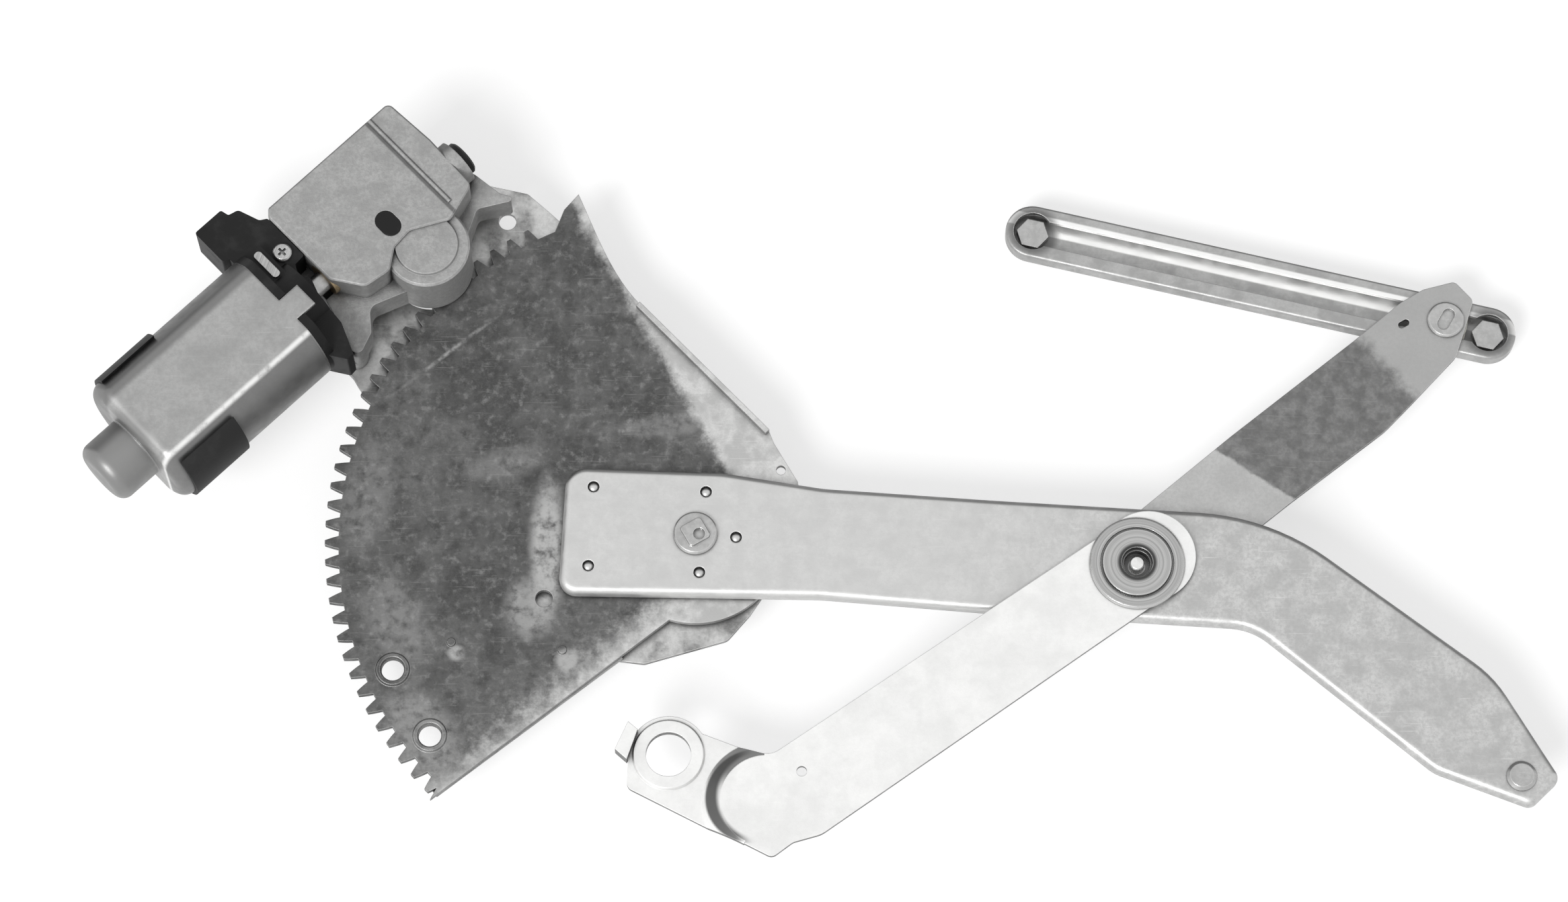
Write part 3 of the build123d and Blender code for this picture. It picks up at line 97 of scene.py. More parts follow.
def new_material(name):
    """A material with nodes; gives it, its nodes and its shader."""
    material = bpy.data.materials.new(name)
    material.use_nodes = True
    tree = material.node_tree
    return material, tree, tree.nodes["Principled BSDF"]


def seen_directly(tree):
    """1 for rays from the camera and for reflected and refracted ones."""
    rays = tree.nodes.new("ShaderNodeLightPath")
    seen = rays.outputs["Is Camera Ray"]
    for label in ("Is Glossy Ray", "Is Transmission Ray"):
        either = tree.nodes.new("ShaderNodeMath")
        either.operation = "MAXIMUM"
        tree.links.new(seen, either.inputs[0])
        tree.links.new(rays.outputs[label], either.inputs[1])
        seen = either.outputs[0]
    return seen


floor_white, floor_tree, floor_shader = new_material("floor_white")
floor_shader.inputs["Base Color"].default_value = (0.55, 0.55, 0.55, 1.0)
floor_shader.inputs["Roughness"].default_value = 0.9
floor_shader.inputs["Specular IOR Level"].default_value = 0.1
floor_glow = floor_tree.nodes.new("ShaderNodeEmission")
floor_glow.inputs["Strength"].default_value = 0.58
floor_plain = floor_tree.nodes.new("ShaderNodeEmission")
floor_plain.inputs["Strength"].default_value = 0.0
floor_choice = floor_tree.nodes.new("ShaderNodeMixShader")
floor_sum = floor_tree.nodes.new("ShaderNodeAddShader")
floor_tree.links.new(seen_directly(floor_tree), floor_choice.inputs[0])
floor_tree.links.new(floor_plain.outputs[0], floor_choice.inputs[1])
floor_tree.links.new(floor_glow.outputs[0], floor_choice.inputs[2])
floor_tree.links.new(floor_shader.outputs[0], floor_sum.inputs[0])
floor_tree.links.new(floor_choice.outputs[0], floor_sum.inputs[1])
floor_tree.links.new(floor_sum.outputs[0], floor_tree.nodes["Material Output"].inputs["Surface"])
floor_mesh.materials.append(floor_white)

room_colour = (1.0, 1.0, 1.0, 1.0)
room = bpy.data.worlds.new("white_room")
room.use_nodes = True
bpy.context.scene.world = room
room_tree = room.node_tree
room_light = room_tree.nodes["Background"]
room_light.inputs["Color"].default_value = room_colour
room_light.inputs["Strength"].default_value = 0.5
room_white = room_tree.nodes.new("ShaderNodeBackground")
room_white.inputs["Color"].default_value = room_colour
room_white.inputs["Strength"].default_value = 1.0
room_choice = room_tree.nodes.new("ShaderNodeMixShader")
room_tree.links.new(seen_directly(room_tree), room_choice.inputs[0])
room_tree.links.new(room_light.outputs[0], room_choice.inputs[1])
room_tree.links.new(room_white.outputs[0], room_choice.inputs[2])
room_tree.links.new(room_choice.outputs[0], room_tree.nodes["World Output"].inputs["Surface"])

lamp_data = bpy.data.lights.new("soft_lamp", "SUN")
lamp_data.energy = 1.9
lamp_data.angle = radians(24.0)
lamp = put_in_scene("soft_lamp", lamp_data)
lamp.rotation_euler = (radians(34.0), radians(-26.0), 0.0)

bpy.context.scene.view_settings.view_transform = "Standard"

# --- base plate -----------------------------------------------------------------------------------
# The stamped steel plate carries the pivot and the motor. Its zinc plating has soft clouds and a
# fine spangle. Its rims are brighter, partly as rubbed plating and partly as painted highlight, and
# painted shade lies in its corners, on its upright walls and on rims that face away from the lamp.


def feed(tree, socket, value):
    """Links a socket, or sets a number."""
    if isinstance(value, (int, float)):
        socket.default_value = value
    else:
        tree.links.new(value, socket)


def object_place(tree):
    """The surface's place in the object, in metres."""
    return tree.nodes.new("ShaderNodeTexCoord").outputs["Object"]


def face_normal(tree):
    """The direction that the surface faces."""
    return tree.nodes.new("ShaderNodeNewGeometry").outputs["Normal"]


def rounded_normal(tree, radius):
    """The direction that the surface would face if its edges were round."""
    edge = tree.nodes.new("ShaderNodeBevel")
    edge.samples = 4
    feed(tree, edge.inputs["Radius"], radius)
    return edge.outputs["Normal"]


def part_along(tree, vector, axis):
    """A vector's X, Y or Z."""
    parts = tree.nodes.new("ShaderNodeSeparateXYZ")
    tree.links.new(vector, parts.inputs[0])
    return parts.outputs[axis]


def noise(tree, place, scale, detail=3.0, roughness=0.6):
    """A noise texture at a place; its scale is a number or a socket."""
    texture = tree.nodes.new("ShaderNodeTexNoise")
    tree.links.new(place, texture.inputs["Vector"])
    feed(tree, texture.inputs["Scale"], scale)
    texture.inputs["Detail"].default_value = detail
    texture.inputs["Roughness"].default_value = roughness
    return texture.outputs["Fac"]


def ranged(tree, value, low, high, out_low=0.0, out_high=1.0):
    """Smooth change of value from low..high to out_low..out_high."""
    step = tree.nodes.new("ShaderNodeMapRange")
    step.interpolation_type = "SMOOTHSTEP"
    tree.links.new(value, step.inputs["Value"])
    feed(tree, step.inputs["From Min"], low)
    feed(tree, step.inputs["From Max"], high)
    feed(tree, step.inputs["To Min"], out_low)
    feed(tree, step.inputs["To Max"], out_high)
    return step.outputs["Result"]


def maths(tree, operation, first, second, clamp=True):
    """One Math node; each term is a number or a socket."""
    node = tree.nodes.new("ShaderNodeMath")
    node.operation = operation
    node.use_clamp = clamp
    feed(tree, node.inputs[0], first)
    feed(tree, node.inputs[1], second)
    return node.outputs[0]


def vector_maths(tree, operation, first, second=None):
    """One Vector Math node with a number for its result; the second is a socket or (x, y, z)."""
    node = tree.nodes.new("ShaderNodeVectorMath")
    node.operation = operation
    tree.links.new(first, node.inputs[0])
    if isinstance(second, tuple):
        node.inputs[1].default_value = second
    elif second is not None:
        tree.links.new(second, node.inputs[1])
    return node.outputs["Value"]


def blended(tree, factor, first, second):
    """From the first colour to the second by a mask; each is (r, g, b) or a socket."""
    node = tree.nodes.new("ShaderNodeMix")
    node.data_type = "RGBA"
    tree.links.new(factor, node.inputs["Factor"])
    for socket, colour in ((node.inputs[6], first), (node.inputs[7], second)):
        if isinstance(colour, tuple):
            socket.default_value = (*colour, 1.0)
        else:
            tree.links.new(colour, socket)
    return node.outputs[2]


def grey(level, warmth=0.01):
    """A grey of this level, very slightly warm."""
    return (level, level, level * (1.0 - warmth))


def overlaid(tree, colour, mask, level):
    """A colour with a grey of this level over it where the mask is."""
    return blended(tree, mask, colour, grey(level))


def both(tree, first, second):
    """Mask of what lies in both masks."""
    return maths(tree, "MULTIPLY", first, second)


def faded(tree, mask, share):
    """A mask at a share of its strength."""
    return maths(tree, "MULTIPLY", mask, share)


def effect_group(name, inputs, output):
    """An empty shader group with float inputs (name, value) and one float output."""
    group = bpy.data.node_groups.new(name, "ShaderNodeTree")
    for label, value in inputs:
        socket = group.interface.new_socket(label, in_out="INPUT", socket_type="NodeSocketFloat")
        socket.default_value = value
    group.interface.new_socket(output, in_out="OUTPUT", socket_type="NodeSocketFloat")
    return group, group.nodes.new("NodeGroupInput"), group.nodes.new("NodeGroupOutput")


def put_out(group, mask, amount, output):
    """Sends a mask, at an amount of its strength, to the group's output."""
    group.links.new(faded(group, mask, amount), output)


def effect(tree, group, **values):
    """A shared effect in a material, with its own values; gives its mask."""
    node = tree.nodes.new("ShaderNodeGroup")
    node.node_tree = group
    for label, value in values.items():
        node.inputs[label].default_value = value
    return node.outputs[0]


# large soft blotches of the passivated zinc
zinc_clouds, clouds_in, clouds_out = effect_group(
    "zinc_clouds", [("Scale", 60.0), ("Low", 0.4), ("High", 0.6)], "Clouds"
)
clouds_place = object_place(zinc_clouds)
clouds_soft = noise(
    zinc_clouds, clouds_place, clouds_in.outputs["Scale"], detail=6.0, roughness=0.62
)
clouds_mask = ranged(zinc_clouds, clouds_soft, clouds_in.outputs["Low"], clouds_in.outputs["High"])
zinc_clouds.links.new(clouds_mask, clouds_out.inputs["Clouds"])

# small dark crystals in the plating
spangle_scale = 700.0
zinc_spangle, spangle_in, spangle_out = effect_group(
    "zinc_spangle", [("Scale", spangle_scale), ("Strength", 0.5)], "Spangle"
)
spangle_place = object_place(zinc_spangle)
spangle_fine = noise(
    zinc_spangle, spangle_place, spangle_in.outputs["Scale"], detail=4.0, roughness=0.75
)
spangle_mask = ranged(zinc_spangle, spangle_fine, low=0.4, high=0.62)
put_out(zinc_spangle, spangle_mask, spangle_in.outputs["Strength"], spangle_out.inputs["Spangle"])

# short fine marks from the press and from handling, in three directions
scuff_turns = (0.62, -0.9, 1.9)
scuff_cells = (60.0, 1500.0, 60.0)  # in a metre, along and across the marks and through the sheet
sheet_scuffs, scuffs_in, scuffs_out = effect_group("sheet_scuffs", [("Amount", 0.5)], "Scuffs")
scuffs_mask = 0.0
for scuff_turn in scuff_turns:
    scuff_place = sheet_scuffs.nodes.new("ShaderNodeMapping")
    scuff_place.inputs["Rotation"].default_value = (0.0, 0.0, scuff_turn)
    scuff_place.inputs["Scale"].default_value = scuff_cells
    sheet_scuffs.links.new(object_place(sheet_scuffs), scuff_place.inputs["Vector"])
    scuff_line = noise(sheet_scuffs, scuff_place.outputs[0], scale=1.0, detail=2.0, roughness=0.5)
    scuff_line = ranged(sheet_scuffs, scuff_line, low=0.68, high=0.76)
    scuffs_mask = maths(sheet_scuffs, "ADD", scuffs_mask, scuff_line)
put_out(sheet_scuffs, scuffs_mask, scuffs_in.outputs["Amount"], scuffs_out.inputs["Scuffs"])

# the brighter rim of an edge, where the rounded surface turns from the flat one: partly rubbed plating, partly a
# painted highlight
rubbed_and_highlit_edges, edges_in, edges_out = effect_group(
    "rubbed_and_highlit_edges", [("Radius", 0.0006), ("Amount", 1.0)], "Edges"
)
edges_round = rounded_normal(rubbed_and_highlit_edges, edges_in.outputs["Radius"])
edges_turn = vector_maths(rubbed_and_highlit_edges, "DOT_PRODUCT", edges_round, face_normal(rubbed_and_highlit_edges))
edges_mask = ranged(rubbed_and_highlit_edges, edges_turn, low=0.985, high=0.82)
put_out(rubbed_and_highlit_edges, edges_mask, edges_in.outputs["Amount"], edges_out.inputs["Edges"])

# painted shade on the rims that face away from the lamp, on the far side of a sheet
shaded_edges, far_shade_in, far_shade_out = effect_group(
    "shaded_edges", [("Radius", 0.0006), ("Amount", 1.0)], "Shaded"
)
far_shade_round = rounded_normal(shaded_edges, far_shade_in.outputs["Radius"])
far_shade_mask = ranged(shaded_edges, part_along(shaded_edges, far_shade_round, "Y"), low=0.12, high=0.4)
put_out(shaded_edges, far_shade_mask, far_shade_in.outputs["Amount"], far_shade_out.inputs["Shaded"])

# painted shade on the upright walls of a sheet
shaded_walls, walls_in, walls_out = effect_group("shaded_walls", [("Amount", 1.0)], "Walls")
walls_rise = part_along(shaded_walls, face_normal(shaded_walls), "Z")
walls_rise = maths(shaded_walls, "ABSOLUTE", walls_rise, 0.0)
walls_mask = ranged(shaded_walls, walls_rise, low=0.5, high=0.2)
put_out(shaded_walls, walls_mask, walls_in.outputs["Amount"], walls_out.inputs["Walls"])

# painted shade where two faces or two pieces meet
corner_shade, corner_shade_in, corner_shade_out = effect_group(
    "corner_shade", [("Reach", 0.003), ("Amount", 1.0)], "Shade"
)
corner_occlusion = corner_shade.nodes.new("ShaderNodeAmbientOcclusion")
corner_occlusion.samples = 6
corner_shade.links.new(corner_shade_in.outputs["Reach"], corner_occlusion.inputs["Distance"])
corner_shade_mask = ranged(corner_shade, corner_occlusion.outputs["AO"], low=0.8, high=0.35)
put_out(corner_shade, corner_shade_mask, corner_shade_in.outputs["Amount"], corner_shade_out.inputs["Shade"])

crystal_share = 0.72  # a crystal's grey as a share of the light one
scuff_share = 1.3  # a scuff's grey as a share of the light one


def plating(tree, light, dark, scale=60.0, low=0.42, high=0.62, spangle=0.3, scuff=0.2):
    """Colour of a zinc plated face: clouds between two greys, crystals and scuffs."""
    cloud = effect(tree, zinc_clouds, Scale=scale, Low=low, High=high)
    crystal = effect(tree, zinc_spangle, Scale=spangle_scale, Strength=spangle)
    mark = effect(tree, sheet_scuffs, Amount=scuff)
    colour = blended(tree, cloud, grey(light), grey(dark))
    colour = overlaid(tree, colour, crystal, crystal_share * light)
    return overlaid(tree, colour, mark, min(1.0, scuff_share * light))


def grained(tree, shader, scale, depth, normal=None):
    """Gives a shader a fine bump, over a rounded normal where there is one."""
    grain = tree.nodes.new("ShaderNodeBump")
    grain.inputs["Distance"].default_value = depth
    tree.links.new(noise(tree, object_place(tree), scale), grain.inputs["Height"])
    if normal is not None:
        tree.links.new(normal, grain.inputs["Normal"])
    tree.links.new(grain.outputs["Normal"], shader.inputs["Normal"])


def metal(name, metallic=0.8, roughness=(0.34, 0.52), grain_depth=0.00003, rounding=0.0004):
    """A metal material whose edges look slightly round; gives it, its nodes and its shader."""
    material, tree, shader = new_material(name)
    shader.inputs["Metallic"].default_value = metallic
    polish = noise(tree, object_place(tree), scale=160.0, detail=4.0)
    polish = ranged(tree, polish, 0.35, 0.65, *roughness)
    tree.links.new(polish, shader.inputs["Roughness"])
    grained(tree, shader, 1500.0, grain_depth, rounded_normal(tree, rounding))
    return material, tree, shader


# greys and strength of the painted shade on far rims, upright walls and corners
far_rim_shade_grey = 0.08
far_rim_shade_amount = 0.75
wall_shade_grey = 0.07
corner_shade_grey = 0.05


def handled(tree, shader, colour, rim, corner_shading=0.7, edge=0.8, radius=0.0005, reach=0.003, wall=0.0):
    """Ends a finish: brighter rims, part rubbed and part painted highlight, and painted shade on far rims, upright
    walls and corners.
    """
    rim_wear_and_highlight = effect(tree, rubbed_and_highlit_edges, Radius=radius, Amount=edge)
    far_rim_shade = effect(tree, shaded_edges, Radius=radius, Amount=far_rim_shade_amount)
    wall_shade = effect(tree, shaded_walls, Amount=wall)
    corner = effect(tree, corner_shade, Reach=reach, Amount=corner_shading)
    colour = overlaid(tree, colour, rim_wear_and_highlight, rim)
    colour = overlaid(tree, colour, far_rim_shade, far_rim_shade_grey)
    colour = overlaid(tree, colour, wall_shade, wall_shade_grey)
    colour = overlaid(tree, colour, corner, corner_shade_grey)
    tree.links.new(colour, shader.inputs["Base Color"])


def dress(names, material):
    """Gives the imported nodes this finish."""
    for name in names:
        nodes[name].data.materials.clear()
        nodes[name].data.materials.append(material)


plate_zinc, plate_tree, plate_shader = metal("plate_zinc")
plate_colour = plating(
    plate_tree, light=0.62, dark=0.24, scale=80.0, low=0.42, high=0.64, spangle=0.45, scuff=0.3
)
handled(plate_tree, plate_shader, plate_colour, rim=0.9, reach=0.004, wall=0.6)
dress(["base_plate"], plate_zinc)

# --- pivot stud and bush --------------------------------------------------------------------------
# A cold-headed steel stud is riveted in the plate, and a sintered bronze bush turns on it. The
# other studs and screws are of the same steel, and the other bearings and terminals of bronze.
stud_steel, stud_tree, stud_shader = metal("stud_steel", roughness=(0.25, 0.42))
stud_colour = plating(stud_tree, light=0.5, dark=0.43, scale=260.0, scuff=0.3)
handled(stud_tree, stud_shader, stud_colour, rim=0.85, reach=0.002)
dress(["pivot_stud", "tip_stud", "slider_pin", "rail_studs", "case_screws"], stud_steel)

bush_bronze, bronze_tree, bronze_shader = metal("bush_bronze", metallic=0.9)
bronze_light = (0.46, 0.36, 0.22)
bronze_dark = (0.24, 0.18, 0.11)
bronze_grain = effect(bronze_tree, zinc_spangle, Scale=2200.0, Strength=1.0)
bronze_colour = blended(bronze_tree, bronze_grain, bronze_light, bronze_dark)
bronze_tree.links.new(bronze_colour, bronze_shader.inputs["Base Color"])
bronze_pieces = ["pivot_bush", "output_bush", "front_bearing", "end_bearing", "connector_terminals"]
dress(bronze_pieces, bush_bronze)

# --- sector gear ----------------------------------------------------------------------------------
# Thick blanked steel with cut teeth, welded under the arm. Its plating is dark and mottled over the
# middle, and light where it was clamped and along the flange and the lower edge.


def beyond(tree, start, end, width, ragged=0.0):
    """Mask of what lies left of the line from start to end, faded over a width."""
    direction = atan2(end[1] - start[1], end[0] - start[0])
    left = (-sin(direction), cos(direction), 0.0)
    place = object_place(tree)
    side = vector_maths(tree, "DOT_PRODUCT", place, left)
    line_offset = left[0] * start[0] + left[1] * start[1]
    rough = noise(tree, place, scale=150.0, detail=5.0, roughness=0.7)
    rough = ranged(tree, rough, 0.25, 0.75, -ragged, ragged)
    moved = maths(tree, "ADD", side, rough, clamp=False)
    return ranged(tree, moved, line_offset - 0.5 * width, line_offset + 0.5 * width)


def patch(tree, centre, radii, turn=0.0, soft=0.6):
    """Mask of an ellipse on the sheet, faded over the soft share of its radius."""
    shape = tree.nodes.new("ShaderNodeMapping")
    shape.vector_type = "TEXTURE"
    shape.inputs["Location"].default_value = (centre[0], centre[1], 0.0)
    shape.inputs["Rotation"].default_value = (0.0, 0.0, turn)
    shape.inputs["Scale"].default_value = (radii[0], radii[1], 1.0)
    tree.links.new(object_place(tree), shape.inputs["Vector"])
    reach = vector_maths(tree, "LENGTH", shape.outputs[0])
    return ranged(tree, reach, 1.0, 1.0 - soft)


sector_zinc, sector_tree, sector_shader = metal(
    "sector_zinc", metallic=0.75, roughness=(0.4, 0.6), grain_depth=0.00005
)
sector_dark = plating(
    sector_tree, light=0.155, dark=0.072, scale=55.0, low=0.38, high=0.62, spangle=0.65, scuff=0.7
)
sector_speck = effect(sector_tree, zinc_clouds, Scale=340.0, Low=0.48, High=0.8)
sector_dark = overlaid(sector_tree, sector_dark, sector_speck, level=0.24)
sector_stain = effect(sector_tree, zinc_clouds, Scale=190.0, Low=0.46, High=0.8)
sector_dark = overlaid(sector_tree, sector_dark, sector_stain, level=0.06)
sector_light = plating(sector_tree, light=0.66, dark=0.48, scale=90.0, spangle=0.4)

# the dark middle ends before the flange and, with a wider fade, before the lower edge
flange_line = ((0.0085, 0.0325), (-0.0155, 0.0762))
lower_line = ((-0.0945, -0.0966), (-0.0251, -0.0355))
sector_middle = both(
    sector_tree,
    beyond(sector_tree, *flange_line, width=0.006, ragged=0.002),
    beyond(sector_tree, *lower_line, width=0.02, ragged=0.005),
)
sector_colour = blended(sector_tree, sector_middle, sector_light, sector_dark)

# clamping marks beside the arm, round the tooling holes and along the lower teeth, each as its
# centre, its two radii, its turn and its strength
clamping_marks = (
    ((-0.0555, -0.004), (0.0085, 0.035), 0.0, 1.0),
    ((-0.062, -0.027), (0.012, 0.016), 0.0, 0.6),
    ((-0.112, -0.032), (0.015, 0.03), 0.35, 0.3),
    ((-0.124, 0.016), (0.014, 0.03), -0.15, 0.25),
    ((-0.1, -0.078), (0.016, 0.03), 0.5, 0.45),
    ((-0.0715, 0.03), (0.02, 0.008), 0.2, 0.25),
    ((-0.0475, -0.0475), (0.006, 0.006), 0.0, 0.85),
    ((-0.089, -0.0445), (0.004, 0.004), 0.0, 0.85),
    ((-0.009, 0.045), (0.03, 0.006), 0.1, 0.3),
)
mark_worn = effect(sector_tree, zinc_clouds, Scale=260.0, Low=0.25, High=0.6)
for mark_centre, mark_radii, mark_turn, mark_strength in clamping_marks:
    mark_mask = patch(sector_tree, mark_centre, mark_radii, mark_turn)
    mark_mask = both(sector_tree, mark_mask, faded(sector_tree, mark_worn, mark_strength))
    sector_colour = overlaid(sector_tree, sector_colour, mark_mask, level=0.46)

# one long scratch from the upper teeth across the middle
scratch = patch(sector_tree, centre=(-0.091, 0.0762), radii=(0.045, 0.0012), turn=0.68, soft=0.95)
scratch_worn = effect(sector_tree, zinc_clouds, Scale=240.0, Low=0.35, High=0.65)
scratch = both(sector_tree, scratch, scratch_worn)
sector_colour = overlaid(sector_tree, sector_colour, scratch, level=0.36)
handled(sector_tree, sector_shader, sector_colour, rim=0.6, corner_shading=0.75, reach=0.004, wall=0.5)
dress(["sector_gear"], sector_zinc)

# --- main arm and centre pivot --------------------------------------------------------------------
# A pressed steel arm with a turned-down rim is welded to the sector at five points. Its plating is
# light and even. A turned washer, which shows fine rings, and a rivet hold its centre pivot.


def between(tree, low, high, soft=0.0004):
    """Mask of what lies between two heights."""
    height = part_along(tree, object_place(tree), "Z")
    over = ranged(tree, height, low - soft, low + soft)
    under = ranged(tree, height, high + soft, high - soft)
    return both(tree, over, under)


arm_zinc, arm_tree, arm_shader = metal("arm_zinc", metallic=0.75)
arm_colour = plating(
    arm_tree, light=0.6, dark=0.47, scale=110.0, low=0.35, high=0.65, spangle=0.6, scuff=0.35
)
# slightly lighter towards its root, and painted shade along the foot of its rim
root_line = ((0.13, -0.1), (0.15, 0.1))
arm_root = faded(arm_tree, beyond(arm_tree, *root_line, width=0.12, ragged=0.02), share=0.7)
arm_colour = overlaid(arm_tree, arm_colour, arm_root, level=0.64)
arm_low, arm_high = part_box("main_arm")
arm_rim_foot_shade = between(arm_tree, arm_low.z - 0.001, arm_low.z + 0.0012)
arm_colour = overlaid(arm_tree, arm_colour, arm_rim_foot_shade, level=0.1)
handled(arm_tree, arm_shader, arm_colour, rim=0.95, corner_shading=0.6, edge=0.85, radius=0.0008, reach=0.002)
dress(["main_arm"], arm_zinc)

# the five weld spots, run flat in the arm's dimples
weld_places = (
    (-0.0383, 0.0186),
    (-0.04, -0.0123),
    (0.0039, 0.0166),
    (0.0152, -0.0012),
    (0.0015, -0.0149),
)
weld_radius = 0.00215
weld_height = 0.0016
weld_sink = 0.0001
weld_flat = Matrix.Diagonal((1.0, 1.0, weld_height / weld_radius, 1.0))
weld_shape = bmesh.new()
for weld_place in weld_places:
    weld_middle = Matrix.Translation((*weld_place, arm_high.z - weld_sink - weld_height))
    bmesh.ops.create_uvsphere(
        weld_shape, u_segments=24, v_segments=10, radius=weld_radius, matrix=weld_middle @ weld_flat
    )
for weld_face in weld_shape.faces:
    weld_face.smooth = True
weld_mesh = bpy.data.meshes.new("weld_spots")
weld_shape.to_mesh(weld_mesh)
weld_shape.free()
weld_mesh.materials.append(arm_zinc)
weld_spots = put_in_scene("weld_spots", weld_mesh)
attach(weld_spots, "lift_arm")

washer_steel, washer_tree, washer_shader = metal("washer_steel", roughness=(0.22, 0.36))
washer_low, washer_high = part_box("pivot_washer")
washer_middle = 0.5 * (washer_low + washer_high)
washer_place = washer_tree.nodes.new("ShaderNodeMapping")
washer_place.vector_type = "TEXTURE"
washer_place.inputs["Location"].default_value = (washer_middle.x, washer_middle.y, 0.0)
washer_place.inputs["Scale"].default_value = (1.0, 1.0, 1000.0)  # takes the height out
washer_tree.links.new(object_place(washer_tree), washer_place.inputs["Vector"])
washer_distance = vector_maths(washer_tree, "LENGTH", washer_place.outputs[0])
washer_rings = noise(washer_tree, washer_distance, scale=900.0, detail=2.0)
washer_rings = ranged(washer_tree, washer_rings, low=0.35, high=0.65)
washer_colour = blended(washer_tree, washer_rings, grey(0.55), grey(0.36))
# painted shade in its recess
recess_rim = 0.0078
recess_floor = 0.0066
washer_recess_shade = ranged(washer_tree, washer_distance, recess_rim, recess_floor)
washer_colour = overlaid(washer_tree, washer_colour, washer_recess_shade, level=0.06)
handled(washer_tree, washer_shader, washer_colour, rim=0.9, corner_shading=0.85)
dress(["pivot_washer", "housing_clip", "housing_screw"], washer_steel)

rivet_steel, rivet_tree, rivet_shader = metal("rivet_steel", roughness=(0.25, 0.4))
# its tip is worn bright, and the rest of it is painted dark, as shade in the washer's recess
tip_radius = 0.0034
rivet_tip = patch(rivet_tree, washer_middle, (tip_radius, tip_radius), soft=0.2)
rivet_bright = plating(rivet_tree, light=0.85, dark=0.7, scale=260.0)
rivet_colour = blended(rivet_tree, rivet_tip, grey(0.12), rivet_bright)
handled(rivet_tree, rivet_shader, rivet_colour, rim=0.6, corner_shading=0.6, reach=0.001)
dress(["pivot_rivet"], rivet_steel)

# --- equaliser ------------------------------------------------------------------------------------
# The two steel halves of the crossing arm are riveted together at the centre pivot. The front half
# is freshly plated and bright. The rear half kept a dark mottled band, where it was masked.
bright_zinc, bright_tree, bright_shader = metal("bright_zinc", metallic=0.6, roughness=(0.4, 0.55))
bright_colour = plating(bright_tree, light=0.88, dark=0.83, scale=50.0, spangle=0.1, scuff=0.1)
# a painted dark reflection on the step round its raised disc: a crescent left of a line through the disc
joggle_line = ((0.019, -0.12), (0.019, -0.08))
joggle_ring = maths(
    bright_tree,
    "SUBTRACT",
    patch(bright_tree, centre=(0.0222, -0.1015), radii=(0.0187, 0.0187), soft=0.06),
    patch(bright_tree, centre=(0.0255, -0.1015), radii=(0.018, 0.018), soft=0.12),
)
joggle_dark_reflection = both(bright_tree, joggle_ring, beyond(bright_tree, *joggle_line, width=0.008))
bright_colour = overlaid(bright_tree, bright_colour, joggle_dark_reflection, level=0.12)
handled(bright_tree, bright_shader, bright_colour, rim=0.97, edge=0.5, reach=0.0025, wall=0.85)
dress(["equaliser_lower"], bright_zinc)

rear_zinc, rear_tree, rear_shader = metal("rear_zinc")
rear_light = plating(rear_tree, light=0.52, dark=0.44, scale=80.0, low=0.35, high=0.7, spangle=0.35)
rear_dark = plating(
    rear_tree, light=0.25, dark=0.15, scale=200.0, low=0.36, high=0.64, spangle=0.6, scuff=0.5
)
band_start = ((0.2098, 0.0254), (0.2199, 0.0186))
band_end = ((0.2702, 0.0615), (0.2552, 0.0787))
rear_band = both(
    rear_tree,
    beyond(rear_tree, *band_start, width=0.0015, ragged=0.0006),
    beyond(rear_tree, *band_end, width=0.007, ragged=0.002),
)
# past the band it is a little darker than before it
rear_end = faded(rear_tree, beyond(rear_tree, *reversed(band_end), width=0.004), share=0.6)
rear_light = overlaid(rear_tree, rear_light, rear_end, level=0.36)
rear_colour = blended(rear_tree, rear_band, rear_light, rear_dark)
handled(rear_tree, rear_shader, rear_colour, rim=0.85, reach=0.0025, wall=0.7)
dress(["equaliser_upper"], rear_zinc)

# --- guide rail -----------------------------------------------------------------------------------
# Rolled steel C-channel with turned-in lips, with a painted highlight along one half of its floor. Two
# studs with rolled M6 threads fix it.


def mount_place(name):
    """Where the record says that an interface lies."""
    interface = next(mount for mount in frame["record"]["mounts"] if mount["name"] == name)
    return Vector(interface["pos_m"])


def strip(tree, origin, run, low, high, width):
    """Mask of a strip along a run, between two distances to its left."""
    across = Vector((-run.y, run.x, 0.0))
    edges = []
    for distance in (low, high):
        start = origin + distance * across
        edges.append(beyond(tree, start, start + run, width))
    return maths(tree, "SUBTRACT", edges[0], edges[1])


rail_right = mount_place("rail_stud_right")
rail_left = mount_place("rail_stud_left")
rail_run = (rail_right - rail_left).normalized()
rail_zinc, rail_tree, rail_shader = metal("rail_zinc")
rail_colour = plating(rail_tree, light=0.46, dark=0.36, scale=90.0, scuff=0.4)
# a painted highlight along one half of the channel's floor
rail_floor_highlight = strip(rail_tree, rail_left, rail_run, low=0.0013, high=0.0068, width=0.0008)
rail_colour = overlaid(rail_tree, rail_colour, rail_floor_highlight, level=0.9)
# painted shade round both studs
stud_shade_radius = 0.0115
for rail_end in (rail_right, rail_left):
    stud_shade = patch(rail_tree, rail_end, (stud_shade_radius, stud_shade_radius), soft=0.35)
    stud_shade = faded(rail_tree, stud_shade, share=0.75)
    rail_colour = overlaid(rail_tree, rail_colour, stud_shade, level=0.1)
handled(rail_tree, rail_shader, rail_colour, rim=0.85, corner_shading=0.8, reach=0.0025)
dress(["guide_rail"], rail_zinc)

thread_pitch = 0.001
thread_crest = 0.00035
thread_sink = 0.0001
thread_steps = 20  # in one turn
thread_weld = 0.000002


